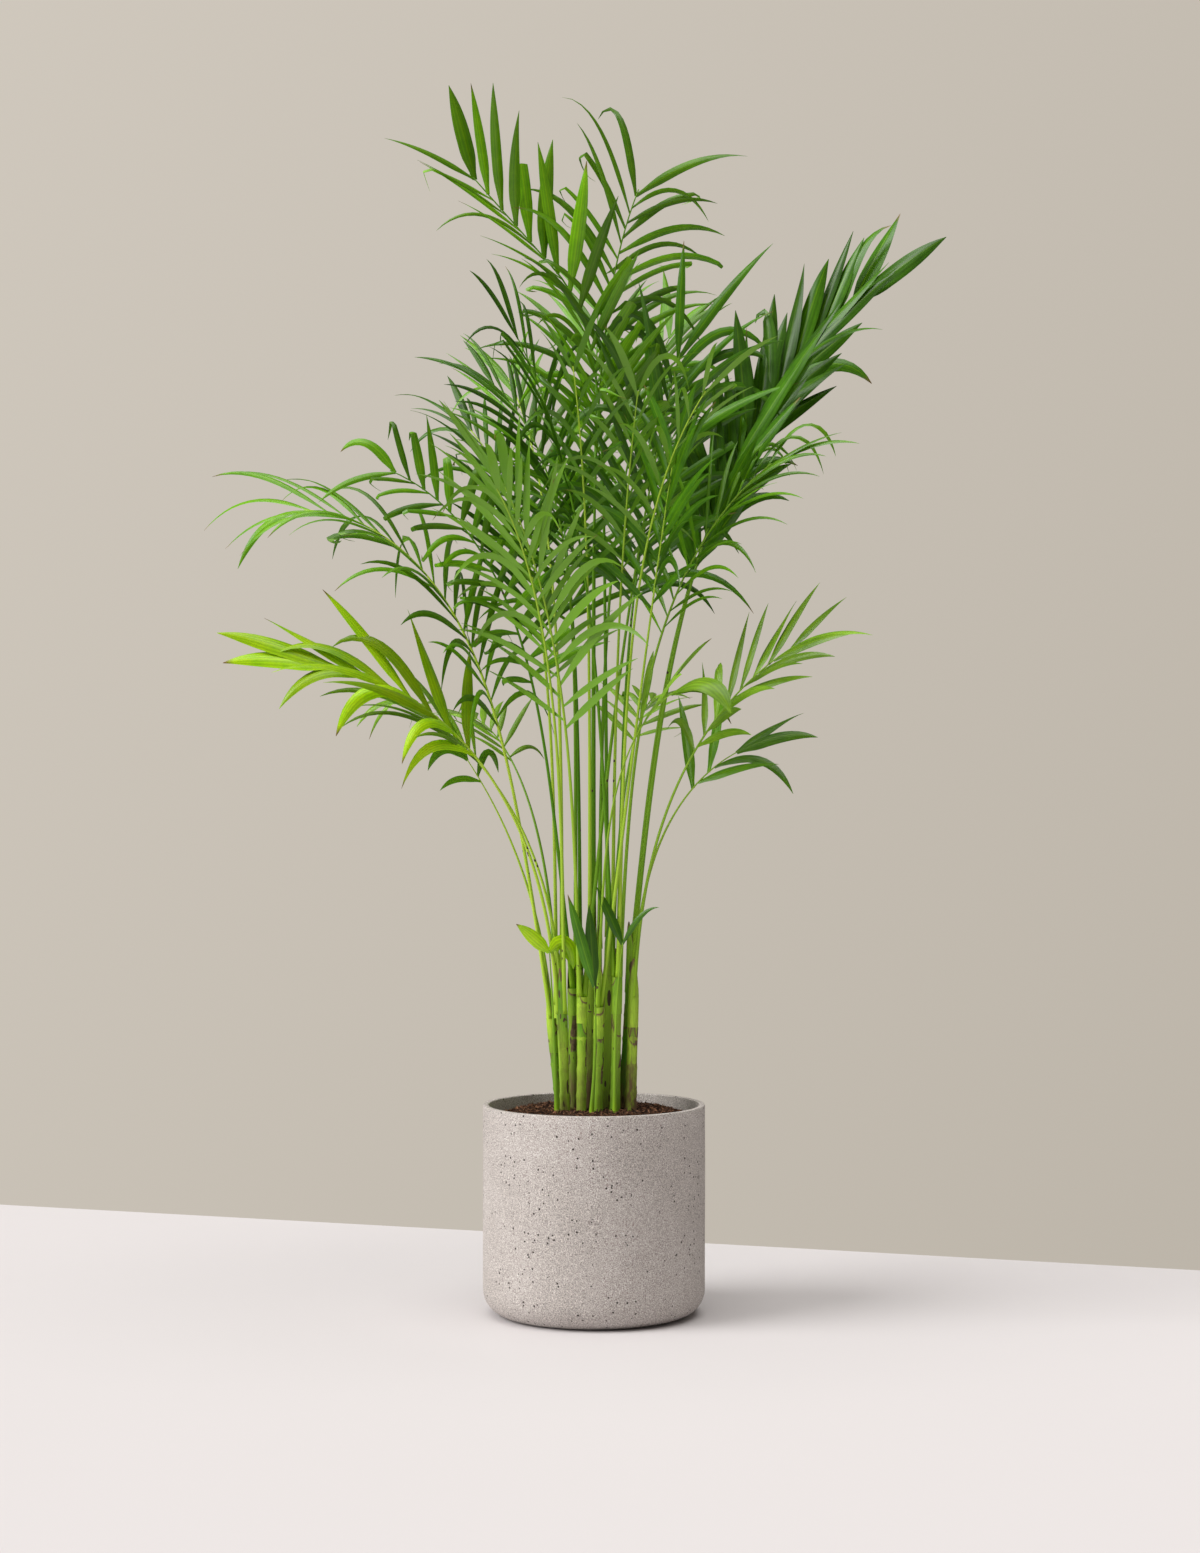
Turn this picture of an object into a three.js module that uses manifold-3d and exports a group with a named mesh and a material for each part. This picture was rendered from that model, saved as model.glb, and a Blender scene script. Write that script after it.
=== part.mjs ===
// A cat palm in a straight-sided stoneware pot: a clump of slender canes, each
// carrying a few long-stalked feather fronds. Millimetres, +Z up, with the
// origin in the middle of the pot's flat underside. The plant's front is -Y.

import * as THREE from 'three';
import { mergeVertices } from 'three/addons/utils/BufferGeometryUtils.js';
import Module from 'manifold-3d';

// Pot
const potRadius = 130;
const potHeight = 245;
const potWall = 7;
const potFloor = 14;
const potHeel = 26;
const potBevel = 10;
const potSides = 48;

// Soil, gently mounded, with a level middle where the canes stand
const soilEdgeDrop = 19;
const soilCrownDrop = 9;
const soilLevelRadius = 68;

// Clearance left wherever two pieces meet
const seatGap = 0.3;

// Canes
const caneRadius = 5.7;
const caneFlare = 2.4;
const caneCollar = 1.2;
const caneBend = 0.8;
const caneSides = 8;

// Frond stalks: thickness at the foot, and how it falls to the tip
const stalkBase = 1.9;
const stalkPerLength = 0.0008;
const stalkPieces = 14;
const stepsPerPiece = 6;
const stalkRingScale = 1.15;
const stalkSeat = { 1: 0, 2: 3.4, 3: 3.9 };

// Leaflets
const leafThickness = 1.9;
const leafBelly = 0.45;
const leafFullness = 1.25;
const leafSteps = 8;
const leafClear = 0.35;
const lastRoot = 0.99;
const liftTries = [0, 12, -12, 24, -24, 36];

// Colours of the pot, the soil, the canes and the leaf tints
const potColour = 0xaaa39c;
const soilColour = 0x3a271a;
const caneColour = 0x86a23c;
const tints = { dark: 0x2f6a1e, mid: 0x4c8a28, sunlit: 0x5a9a1c, fresh: 0x6d9c34, lime: 0x9db325 };

const up = new THREE.Vector3(0, 0, 1);
const soilTop = potHeight - soilCrownDrop;

// Each cane: where its top and its foot stand in plan, how high it reaches and
// how stout it is at its foot
const canes = {
  frontA: { x: -37, y: -20, top: 352, footX: -33, footY: -17, girth: 0.9 },
  frontB: { x: -14, y: -24, top: 372, footX: -15, footY: -21, girth: 0.84 },
  frontC: { x: 6, y: -24, top: 360, footX: 3, footY: -20, girth: 1.06 },
  frontD: { x: 27, y: -22, top: 395, footX: 24, footY: -19, girth: 0.86 },
  frontE: { x: 46, y: -13, top: 370, footX: 42, footY: -11, girth: 1.08 },
  middleA: { x: -50, y: 1, top: 345, footX: -38, footY: 1, girth: 0.8 },
  middleB: { x: -25, y: 1, top: 380, footX: -23, footY: 2, girth: 1.04 },
  middleC: { x: -3, y: 0, top: 430, footX: -6, footY: 0, girth: 0.9 },
  middleD: { x: 19, y: 1, top: 440, footX: 12, footY: 1, girth: 1.08 },
  middleE: { x: 44, y: 10, top: 410, footX: 33, footY: 9, girth: 0.94 },
  backA: { x: -42, y: 22, top: 360, footX: -32, footY: 17, girth: 0.95 },
  backB: { x: -19, y: 25, top: 400, footX: -14, footY: 19, girth: 0.9 },
  backC: { x: 3, y: 25, top: 425, footX: 3, footY: 19, girth: 1.0 },
  backD: { x: 25, y: 24, top: 385, footX: 22, footY: 21, girth: 0.9 },
};

// What a frond has unless its own line says otherwise. The stalk leaves its
// cane at `lean` degrees from upright towards `heading`, and has bent over by
// a further `arch` degrees at the share `full` of its length, more of it near
// there the larger `late` is. `bare` is the share with no leaflets. The blade
// is rolled about the stalk by `roll`, and its leaflets stand `open` degrees
// from the stalk at the bottom and `close` at the top, raised by `raise` and
// bowed by `droop`, which is `sag` times as much on the blade's lower side,
// where they are `slim` times as wide.
const frondHabit = {
  roll: 0, raise: 18, open: 55, close: 20, late: 2, full: 1, bare: 0.55, pairs: 10,
  leafLength: 140, leafWidth: 8, droop: 0.5, sag: 1, slim: 1, limp: 0.2,
  tint: 'mid',
};

const fronds = [
  // Left side, from the lowest up
  { name: 'leftLowSmall', cane: 'middleA', heading: 176, lean: 4, arch: 30, length: 325,
    late: 1.1, bare: 0.88, roll: 50, pairs: 2, open: 60, leafLength: 75, leafWidth: 9,
    droop: 0.9 },
  { name: 'leftLow', cane: 'frontA', heading: 178, lean: 4, arch: 50, length: 385, late: 1.5,
    bare: 0.8, roll: 30, pairs: 5, open: 45, close: 12, leafLength: 150, leafWidth: 9,
    droop: 0.8, tint: 'fresh' },
  { name: 'leftLime', cane: 'frontA', heading: 188, lean: 5, arch: 74, length: 520, late: 1.6,
    bare: 0.6, roll: 50, pairs: 7, raise: 30, open: 44, close: 4, leafLength: 145, leafWidth: 17,
    droop: 0.2, sag: 3.5, tint: 'lime' },
  { name: 'leftLong', cane: 'middleA', heading: 184, lean: 9, arch: 81, length: 710, late: 3.6,
    bare: 0.48, roll: 35, pairs: 14, leafLength: 150, leafWidth: 9, droop: 1.2, limp: 0.3 },
  { name: 'leftUpper', cane: 'middleB', heading: 186, lean: 6, arch: 62, length: 670, late: 3.5,
    bare: 0.53, roll: 66, pairs: 13, open: 68, close: 40, leafLength: 106, leafWidth: 11,
    droop: 0.35, sag: 2, slim: 0.7 },
  // Top
  { name: 'topLeft', cane: 'middleD', heading: 180, lean: 0.5, arch: 41, length: 944, late: 9,
    full: 0.84, bare: 0.58, roll: 62, pairs: 13, raise: 38, open: 48, close: 34, leafLength: 146,
    leafWidth: 15, droop: 0.15, sag: 2.5, slim: 0.4, limp: 0.05, tint: 'sunlit' },
  { name: 'topLeftInner', cane: 'frontD', heading: 193, lean: 3, arch: 25, length: 760,
    late: 3.2, bare: 0.6, roll: 44, leafLength: 130, leafWidth: 7, droop: 0.8, tint: 'dark' },
  { name: 'topCentre', cane: 'middleC', heading: 30, lean: 0, arch: 24, length: 900, late: 5,
    bare: 0.66, roll: -80, pairs: 13, raise: 2, open: 56, close: 34, leafLength: 158,
    leafWidth: 8, droop: 1 },
  { name: 'upperLeft', cane: 'backB', heading: 155, lean: 0, arch: 52, length: 730, late: 4.5,
    bare: 0.6, roll: 30, pairs: 11, leafLength: 110, leafWidth: 7, droop: 0.6, tint: 'dark' },
  { name: 'centreRight', cane: 'frontB', heading: 20, lean: 6, arch: 9, length: 765, bare: 0.6,
    roll: -75, pairs: 12, open: 48, close: 22, leafLength: 180, leafWidth: 11, droop: 0.55,
    tint: 'dark' },
  // Right side, from the highest down
  { name: 'rightTop', cane: 'middleE', heading: 2, lean: 6, arch: 44, length: 845, late: 2.4,
    bare: 0.54, roll: -50, pairs: 13, raise: 35, open: 36, close: 20, leafLength: 145,
    leafWidth: 19, droop: 0.15, tint: 'dark' },
  { name: 'rightSecond', cane: 'middleE', heading: 24, lean: 6, arch: 36, length: 745, late: 2.2,
    bare: 0.62, roll: -52, pairs: 9, raise: 35, open: 32, close: 18, leafLength: 135,
    leafWidth: 20, droop: 0.35, tint: 'dark' },
  { name: 'rightMid', cane: 'frontD', heading: -12, lean: 3, arch: 50, length: 640, late: 2.6,
    bare: 0.62, roll: -50, leafLength: 130, leafWidth: 6, droop: 0.8 },
  { name: 'rightLow', cane: 'frontE', heading: -14, lean: 4, arch: 55, length: 470, late: 1.6,
    bare: 0.62, roll: -50, pairs: 8, leafLength: 108, leafWidth: 12, droop: 0.35, sag: 2,
    tint: 'fresh' },
  { name: 'rightNear', cane: 'frontC', heading: -40, lean: 3, arch: 62, length: 400, late: 3.2,
    bare: 0.8, roll: -40, pairs: 3, close: 6, leafLength: 110, leafWidth: 22, tint: 'fresh' },
  { name: 'rightLowest', cane: 'frontE', heading: 8, lean: 3, arch: 60, length: 330, late: 1.9,
    bare: 0.76, roll: -40, pairs: 3, close: 8, leafLength: 120, leafWidth: 13, droop: 0.5 },
  // Middle and front
  { name: 'frontCentre', cane: 'frontB', heading: -124, lean: 3, arch: 38.5, length: 610,
    late: 2.4, bare: 0.5, pairs: 10, raise: 5, open: 60, close: 12, leafLength: 150,
    leafWidth: 9, droop: 0.3 },
  { name: 'middleRight', cane: 'middleD', heading: -75, lean: 2, arch: 24, length: 640,
    bare: 0.66, roll: -10, pairs: 7, leafLength: 120, leafWidth: 6, droop: 0.9 },
  { name: 'middleDark', cane: 'frontC', heading: -34, lean: 8.5, arch: 2, length: 640, late: 3,
    bare: 0.72, roll: -75, pairs: 8, open: 50, leafLength: 120, leafWidth: 11, droop: 0.6,
    tint: 'dark' },
  { name: 'frontLeft', cane: 'frontA', heading: -116, lean: 1.5, arch: 51.5, length: 640,
    late: 2.6, bare: 0.6, roll: -10, pairs: 9, leafLength: 120, leafWidth: 7, droop: 0.7 },
  { name: 'frontRight', cane: 'frontD', heading: -50, lean: 2, arch: 46, length: 700, late: 3.2,
    bare: 0.7, roll: 5, pairs: 6, leafLength: 110, leafWidth: 6, droop: 0.7 },
  { name: 'frontHigh', cane: 'middleC', heading: -98, lean: 0, arch: 46, length: 690, late: 3,
    bare: 0.62, roll: 10, pairs: 7, leafLength: 115, leafWidth: 6, droop: 0.6, tint: 'dark' },
  // Back
  { name: 'backLeft', cane: 'backA', heading: 130, lean: 1, arch: 52, length: 740, late: 3,
    bare: 0.58, roll: 10, pairs: 12, leafLength: 130, tint: 'dark' },
  { name: 'backLeftHigh', cane: 'backA', heading: 112, lean: 0, arch: 52, length: 810, late: 2.8,
    bare: 0.6, roll: 15, pairs: 12, leafLength: 130 },
  { name: 'backLow', cane: 'backB', heading: 100, lean: 2, arch: 66, length: 680, late: 2.6,
    bare: 0.6, pairs: 11, leafLength: 130 },
  { name: 'backHigh', cane: 'backC', heading: 88, lean: 0, arch: 42, length: 810, late: 3,
    bare: 0.6, pairs: 12, leafLength: 140 },
  { name: 'backRight', cane: 'backD', heading: 62, lean: 2, arch: 52, length: 740, late: 3,
    bare: 0.6, roll: -10, pairs: 12, leafLength: 130, tint: 'dark' },
  { name: 'backRightHigh', cane: 'backC', heading: 60, lean: 1, arch: 45, length: 790, late: 2.6,
    bare: 0.6, roll: -15, pairs: 12, leafLength: 130 },
  { name: 'backRightLow', cane: 'backD', heading: 76, lean: 5, arch: 70, length: 430, late: 1.6,
    bare: 0.72, roll: -5, pairs: 5, leafLength: 85, tint: 'fresh' },
  { name: 'backLeftLow', cane: 'backA', heading: 120, lean: 5, arch: 70, length: 430, late: 1.6,
    bare: 0.72, roll: 10, pairs: 5, leafLength: 85, tint: 'fresh' },
];

// Young shoots that rise from the soil at the clump's edge
const shoots = [
  { name: 'shootLeft', x: -43, y: -28, heading: 180, lean: 2, arch: 2, length: 190, bare: 0.97,
    roll: 80, pairs: 1, raise: 10, close: 50, leafLength: 66, leafWidth: 13, droop: 6, sag: 0.03,
    limp: 0, tint: 'lime' },
  { name: 'shootMiddle', x: -3, y: -40, heading: 180, lean: -4, arch: 8, length: 150, bare: 0.97,
    roll: 80, pairs: 1, raise: 10, close: 7, leafLength: 118, leafWidth: 12, droop: 0.1, limp: 0,
    tint: 'dark' },
  { name: 'shootRight', x: 24, y: -40, heading: 0, lean: 0, arch: 8, length: 200, bare: 0.97,
    roll: -80, pairs: 1, raise: 10, close: 30, leafLength: 84, leafWidth: 11, droop: 0.2, sag: 6,
    slim: 0.6, limp: 0, tint: 'dark' },
];

const wasm = await Module();
wasm.setup();

// A small repeatable number maker, so the palm grows the same way every time
function makeDice(seed) {
  let state = (seed * 7919) % 2147483647 + 1;
  const roll = () => {
    state = (state * 16807) % 2147483647;
    return state / 2147483647;
  };
  for (let i = 0; i < 3; i++) roll();
  return { roll, spread: (amount) => (roll() * 2 - 1) * amount };
}

function toSolid(positions, triangles) {
  const vertProperties = new Float32Array(positions);
  const triVerts = new Uint32Array(triangles);
  return new wasm.Manifold(new wasm.Mesh({ numProp: 3, vertProperties, triVerts }));
}

function toGeometry(solid) {
  const { vertProperties, triVerts } = solid.getMesh();
  const geometry = new THREE.BufferGeometry();
  geometry.setAttribute('position', new THREE.BufferAttribute(vertProperties, 3));
  geometry.setIndex(new THREE.BufferAttribute(triVerts, 1));
  return geometry;
}

function makeMesh(name, geometry, colour, roughness) {
  geometry.computeVertexNormals();
  const mesh = new THREE.Mesh(geometry, new THREE.MeshStandardMaterial({ color: colour, roughness }));
  mesh.name = name;
  return mesh;
}

// Rings of points, one above the other, closed by flat ends
function loft(rings) {
  const count = rings[0].length;
  const positions = rings.flat().flatMap((point) => [point.x, point.y, point.z]);
  const triangles = [];
  for (let r = 0; r < rings.length - 1; r++) {
    for (let i = 0; i < count; i++) {
      const a = r * count + i;
      const b = r * count + (i + 1) % count;
      triangles.push(a, b, b + count, a, b + count, a + count);
    }
  }
  const last = (rings.length - 1) * count;
  for (let i = 1; i < count - 1; i++) {
    triangles.push(0, i + 1, i, last, last + i, last + i + 1);
  }
  return toSolid(positions, triangles);
}

function arcPoints(centreX, centreZ, radius, from, to, steps) {
  const points = [];
  for (let i = 0; i <= steps; i++) {
    const angle = THREE.MathUtils.degToRad(from + (to - from) * i / steps);
    const x = centreX + radius * Math.cos(angle);
    points.push(new THREE.Vector2(x, centreZ + radius * Math.sin(angle)));
  }
  return points;
}

// A turned body: the profile is drawn in x, z and its ends lie on the axis
function turned(profile) {
  const geometry = new THREE.LatheGeometry(profile, potSides);
  geometry.rotateX(Math.PI / 2);
  geometry.deleteAttribute('normal');
  geometry.deleteAttribute('uv');
  return mergeVertices(geometry, 0.001);
}

function makePot() {
  const lip = potWall / 2;
  const inside = potRadius - potWall;
  const profile = [
    new THREE.Vector2(0, 0),
    ...arcPoints(potRadius - potHeel, potHeel, potHeel, -90, 0, 5),
    ...arcPoints(potRadius - lip, potHeight - lip, lip, 0, 180, 4),
    new THREE.Vector2(inside, potFloor + potBevel),
    new THREE.Vector2(inside - potBevel, potFloor),
    new THREE.Vector2(0, potFloor),
  ];
  return makeMesh('pot', turned(profile), potColour, 0.85);
}

function makeSoil() {
  const edge = potRadius - potWall - seatGap;
  const bottom = potFloor + seatGap;
  const middle = (edge + soilLevelRadius) / 2;
  const middleDrop = soilCrownDrop + (soilEdgeDrop - soilCrownDrop) * 0.35;
  const profile = [
    new THREE.Vector2(0, bottom),
    new THREE.Vector2(edge - potBevel, bottom),
    new THREE.Vector2(edge, bottom + potBevel),
    new THREE.Vector2(edge, potHeight - soilEdgeDrop),
    new THREE.Vector2(middle, potHeight - middleDrop),
    new THREE.Vector2(soilLevelRadius, soilTop),
    new THREE.Vector2(0, soilTop),
  ];
  return makeMesh('soil', turned(profile), soilColour, 0.95);
}

// A cane leans out from its foot, swells at the foot and again below its top
function makeCane(cane) {
  const foot = soilTop + seatGap;
  const heights = [0, 0.05, 0.14, 0.5, 0.86, 1];
  const swell = [caneFlare, caneFlare * 0.4, 0, -0.3, caneCollar, caneCollar];
  const rings = heights.map((share, level) => {
    const lean = share ** caneBend;
    const radius = caneRadius * THREE.MathUtils.lerp(cane.girth, 1, share) + swell[level];
    const ring = [];
    for (let i = 0; i < caneSides; i++) {
      const angle = 2 * Math.PI * i / caneSides;
      const x = THREE.MathUtils.lerp(cane.footX, cane.x, lean) + radius * Math.cos(angle);
      const y = THREE.MathUtils.lerp(cane.footY, cane.y, lean) + radius * Math.sin(angle);
      ring.push(new THREE.Vector3(x, y, foot + (cane.top - foot) * share));
    }
    return ring;
  });
  return loft(rings);
}

// Along, across and face directions of a frond whose stalk is tipped over
function frameFor(frond, tipped) {
  const heading = THREE.MathUtils.degToRad(frond.heading);
  const roll = THREE.MathUtils.degToRad(frond.roll);
  const out = new THREE.Vector3(Math.cos(heading), Math.sin(heading), 0);
  const along = out.clone().multiplyScalar(Math.sin(tipped)).addScaledVector(up, Math.cos(tipped));
  const face = out.clone().multiplyScalar(-Math.cos(tipped)).addScaledVector(up, Math.sin(tipped));
  const side = new THREE.Vector3().crossVectors(out, up);
  const across = side.clone().multiplyScalar(Math.cos(roll)).addScaledVector(face, Math.sin(roll));
  const above = face.clone().multiplyScalar(Math.cos(roll)).addScaledVector(side, -Math.sin(roll));
  return { along, across, above };
}

const tippedAt = (frond, share) =>
  THREE.MathUtils.degToRad(frond.lean + frond.arch * Math.min(1, share / frond.full) ** frond.late);

// The stalk's bend is walked in short steps, and every few of them it keeps a joint
function walkStalk(frond, start) {
  const steps = stalkPieces * stepsPerPiece;
  const point = start.clone();
  const joints = [start.clone()];
  for (let i = 0; i < steps; i++) {
    const { along } = frameFor(frond, tippedAt(frond, (i + 0.5) / steps));
    point.addScaledVector(along, frond.length / steps);
    if ((i + 1) % stepsPerPiece === 0) joints.push(point.clone());
  }
  return joints;
}

function pointAt(joints, share) {
  const place = share * stalkPieces;
  const i = Math.min(Math.floor(place), stalkPieces - 1);
  return joints[i].clone().lerp(joints[i + 1], place - i);
}

// The stalk is thickest at its foot and thins faster along its upper half
function stalkRadius(frond, share) {
  const base = stalkBase + stalkPerLength * frond.length;
  if (share < 0.5) return base * (1 - 0.6 * share);
  return base * 0.7 * (1 - 1.2 * (share - 0.5));
}

function makeStalk(frond) {
  const rings = [];
  for (let r = 0; r <= stalkPieces; r++) {
    const share = r / stalkPieces;
    const { across, above } = frameFor(frond, r === 0 ? 0 : tippedAt(frond, share));
    const centre = frond.joints[r];
    const radius = stalkRingScale * stalkRadius(frond, share);
    const ring = [];
    for (let i = 0; i < 3; i++) {
      const angle = Math.PI / 2 - 2 * Math.PI * i / 3;
      ring.push(centre.clone()
        .addScaledVector(across, radius * Math.cos(angle))
        .addScaledVector(above, radius * Math.sin(angle)));
    }
    rings.push(ring);
  }
  return loft(rings);
}

// One leaflet's course: it sets out from the stalk and bows towards the ground
function leafCourse(frond, pair, side, dice) {
  const last = pair === frond.pairs - 1;
  const rank = last ? 1 : (pair + 0.5 + 0.18 * side) / frond.pairs;
  const share = Math.min(frond.bare + (1 - frond.bare) * rank, lastRoot);
  const frame = frameFor(frond, tippedAt(frond, share));
  const fullness = Math.sin(Math.PI * (0.15 + 0.7 * rank));
  const course = {
    root: pointAt(frond.joints, share),
    frame,
    side,
    opening: frond.open + (frond.close - frond.open) * rank ** 0.9 + dice.spread(8),
    raise: frond.raise + dice.spread(15),
    length: frond.leafLength * (0.78 + 0.22 * fullness) * (1 + dice.spread(0.14)),
    width: frond.leafWidth * (0.85 + 0.15 * Math.sin(Math.PI * rank)) * (1 + dice.spread(0.2)),
    droop: frond.droop * (1 + dice.spread(0.35)),
  };
  if (side * frond.roll < 0) {
    course.droop *= frond.sag;
    course.width *= frond.slim;
  }
  if (last) course.width *= 1.45;
  if (dice.roll() < frond.limp) course.droop = course.droop * 2 + 0.8;
  return course;
}

// Eight faces: a root in the stalk, a four-cornered belly and a sharp tip. As it
// narrows from the belly on, it is drawn broader than the rounded leaflet it stands for.
function makeLeaf(course, lift, spare) {
  const opening = THREE.MathUtils.degToRad(course.opening);
  const raise = THREE.MathUtils.degToRad(course.raise + lift);
  const { along, across, above } = course.frame;
  const start = along.clone().multiplyScalar(Math.cos(opening))
    .addScaledVector(across, course.side * Math.sin(opening) * Math.cos(raise))
    .addScaledVector(above, Math.sin(opening) * Math.sin(raise));
  const bellyStep = Math.round(leafSteps * leafBelly);
  const point = course.root.clone();
  const way = start.clone();
  let belly;
  let wide;
  let face;
  for (let k = 0; k < leafSteps; k++) {
    way.copy(start).addScaledVector(up, -course.droop * (k / leafSteps) ** 1.6).normalize();
    if (k === bellyStep) {
      belly = point.clone();
      face = above.clone().addScaledVector(way, -above.dot(way)).normalize();
      wide = new THREE.Vector3().crossVectors(way, face);
    }
    point.addScaledVector(way, (course.length + spare) / leafSteps);
  }
  const half = leafFullness * course.width / 2 + spare;
  const thick = leafThickness / 2 + spare;
  const corners = [
    belly.clone().addScaledVector(wide, half),
    belly.clone().addScaledVector(face, -thick),
    belly.clone().addScaledVector(wide, -half),
    belly.clone().addScaledVector(face, thick),
  ];
  const vertices = [course.root, ...corners, point];
  const triangles = [];
  for (let i = 0; i < 4; i++) {
    const a = 1 + i;
    const b = 1 + (i + 1) % 4;
    triangles.push(0, b, a, 5, a, b);
  }
  return toSolid(vertices.flatMap((vertex) => [vertex.x, vertex.y, vertex.z]), triangles);
}

// Every solid placed so far, kept apart so that a new leaflet can be tried against them
const placed = [];

function remember(owner, solid) {
  placed.push({ owner, solid, box: solid.boundingBox() });
}

function isFree(owner, solid) {
  const box = solid.boundingBox();
  return placed.every((other) => {
    if (other.owner === owner) return true;
    for (let axis = 0; axis < 3; axis++) {
      if (box.min[axis] > other.box.max[axis]) return true;
      if (box.max[axis] < other.box.min[axis]) return true;
    }
    return solid.intersect(other.solid).isEmpty();
  });
}

// The stalks of one cane stand in a ring on its top, each on the side it bends to
function seatOnCane(frond) {
  const mates = fronds.filter((other) => other.cane === frond.cane);
  mates.sort((a, b) => ((a.heading + 360) % 360) - ((b.heading + 360) % 360));
  let sumX = 0;
  let sumY = 0;
  mates.forEach((mate, i) => {
    const angle = THREE.MathUtils.degToRad(mate.heading) - 2 * Math.PI * i / mates.length;
    sumX += Math.cos(angle);
    sumY += Math.sin(angle);
  });
  const turn = Math.atan2(sumY, sumX) + 2 * Math.PI * mates.indexOf(frond) / mates.length;
  const cane = canes[frond.cane];
  const radius = stalkSeat[mates.length];
  const x = cane.x + radius * Math.cos(turn);
  const y = cane.y + radius * Math.sin(turn);
  return new THREE.Vector3(x, y, cane.top + seatGap);
}

function growLeaves(frond, index) {
  const dice = makeDice(index + 1);
  const leaves = [];
  for (let pair = 0; pair < frond.pairs; pair++) {
    for (const side of [1, -1]) {
      const course = leafCourse(frond, pair, side, dice);
      const lift = liftTries.find((tried) => isFree(frond.name, makeLeaf(course, tried, leafClear)));
      if (lift !== undefined) {
        const leaf = makeLeaf(course, lift, 0);
        remember(frond.name, leaf);
        leaves.push(leaf);
      }
    }
  }
  return leaves;
}

const palm = new THREE.Group();
palm.name = 'cat_palm_in_pot';
palm.add(makePot(), makeSoil());

for (const [name, cane] of Object.entries(canes)) {
  const solid = makeCane(cane);
  remember(name, solid);
  palm.add(makeMesh(`cane_${name}`, toGeometry(solid), caneColour, 0.6));
}

const plantParts = [
  ...fronds.map((frond) => ({ ...frondHabit, ...frond, start: seatOnCane(frond) })),
  ...shoots.map((shoot) => {
    const start = new THREE.Vector3(shoot.x, shoot.y, soilTop + seatGap);
    return { ...frondHabit, ...shoot, start };
  }),
];

for (const part of plantParts) {
  part.joints = walkStalk(part, part.start);
  part.stalk = makeStalk(part);
  remember(part.name, part.stalk);
}

plantParts.forEach((part, index) => {
  const solid = wasm.Manifold.union([part.stalk, ...growLeaves(part, index)]);
  const kind = part.cane ? 'frond' : 'young';
  palm.add(makeMesh(`${kind}_${part.name}`, toGeometry(solid), tints[part.tint], 0.55));
});

export default palm;
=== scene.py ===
from math import atan2, cos, exp, hypot, pi, radians, sin, sqrt, tan

import bmesh
import bpy
import numpy as np
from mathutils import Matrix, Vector, noise


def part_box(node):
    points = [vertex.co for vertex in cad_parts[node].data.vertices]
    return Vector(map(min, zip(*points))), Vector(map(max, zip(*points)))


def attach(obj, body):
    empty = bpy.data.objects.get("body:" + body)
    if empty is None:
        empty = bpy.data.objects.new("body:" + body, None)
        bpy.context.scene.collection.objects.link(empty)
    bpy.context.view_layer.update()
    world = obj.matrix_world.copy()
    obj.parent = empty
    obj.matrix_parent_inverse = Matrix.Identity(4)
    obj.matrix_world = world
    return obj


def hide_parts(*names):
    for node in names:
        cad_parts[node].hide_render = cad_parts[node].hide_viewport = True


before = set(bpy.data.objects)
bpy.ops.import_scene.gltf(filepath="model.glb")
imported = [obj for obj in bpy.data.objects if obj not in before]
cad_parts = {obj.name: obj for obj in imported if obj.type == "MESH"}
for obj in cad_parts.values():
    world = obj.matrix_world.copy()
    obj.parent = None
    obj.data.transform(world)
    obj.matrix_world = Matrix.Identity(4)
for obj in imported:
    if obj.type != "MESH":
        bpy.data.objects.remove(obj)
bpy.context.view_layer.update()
print("frame loaded")

mm = 0.001  # the plant's own sizes below are in millimetres
up = np.array([0.0, 0.0, 1.0])

cameraSet = {
    "place": (0.007, -3.36, 0.6284),
    "frameAngle": 30.3,  # degrees seen from the bottom to the top of the picture
    "sensor": 36.0,
}

lightSet = {
    "key": {"side": 70, "height": 33, "spread": 40, "strength": 2.6, "colour": (1, 0.985, 0.975)},
    "top": {"side": 0, "height": 82, "spread": 60, "strength": 2.15, "colour": (1, 0.975, 0.945)},
}

# The backdrop is painted light: lighter on the left, where the key light stands, and towards the top, and
# darker to the right and downwards
backdropSet = {
    "left": (0.622, 0.572, 0.503),
    "right": (0.508, 0.463, 0.399),
    "from": -0.343,  # the tone changes between these, seen from left to right
    "to": 0.304,
    "fall": -0.61,  # and it darkens this much as fast from the top down
    "roomColour": (0.87, 0.81, 0.74),
    "roomLight": 0.18,
    "floorReach": 7.0,
    "backEdge": 0.552,  # the floor ends this far behind the pot's middle
    "edgeSlope": -0.341,
}


def addObject(name, data):
    piece = bpy.data.objects.new(name, data)
    bpy.context.collection.objects.link(piece)
    return piece


def addCamera():
    data = bpy.data.cameras.new("photoCamera")
    data.sensor_width = cameraSet["sensor"]
    data.lens = cameraSet["sensor"] / 2 / tan(radians(cameraSet["frameAngle"] / 2))
    camera = addObject("photoCamera", data)
    camera.location = cameraSet["place"]
    camera.rotation_euler = (radians(90), 0, 0)
    bpy.context.scene.camera = camera


def addLights():
    # wide soft suns, each told by how far left of the camera and how high it stands
    for name, settings in lightSet.items():
        data = bpy.data.lights.new(name + "Light", "SUN")
        data.angle = radians(settings["spread"])
        data.energy = settings["strength"]
        data.color = settings["colour"]
        lamp = addObject(name + "Light", data)
        side, height = radians(settings["side"]), radians(settings["height"])
        lamp.location = (-sin(side) * cos(height), -cos(side) * cos(height), sin(height))
        lamp.rotation_euler = (-lamp.location).to_track_quat("-Z", "Y").to_euler()


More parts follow.
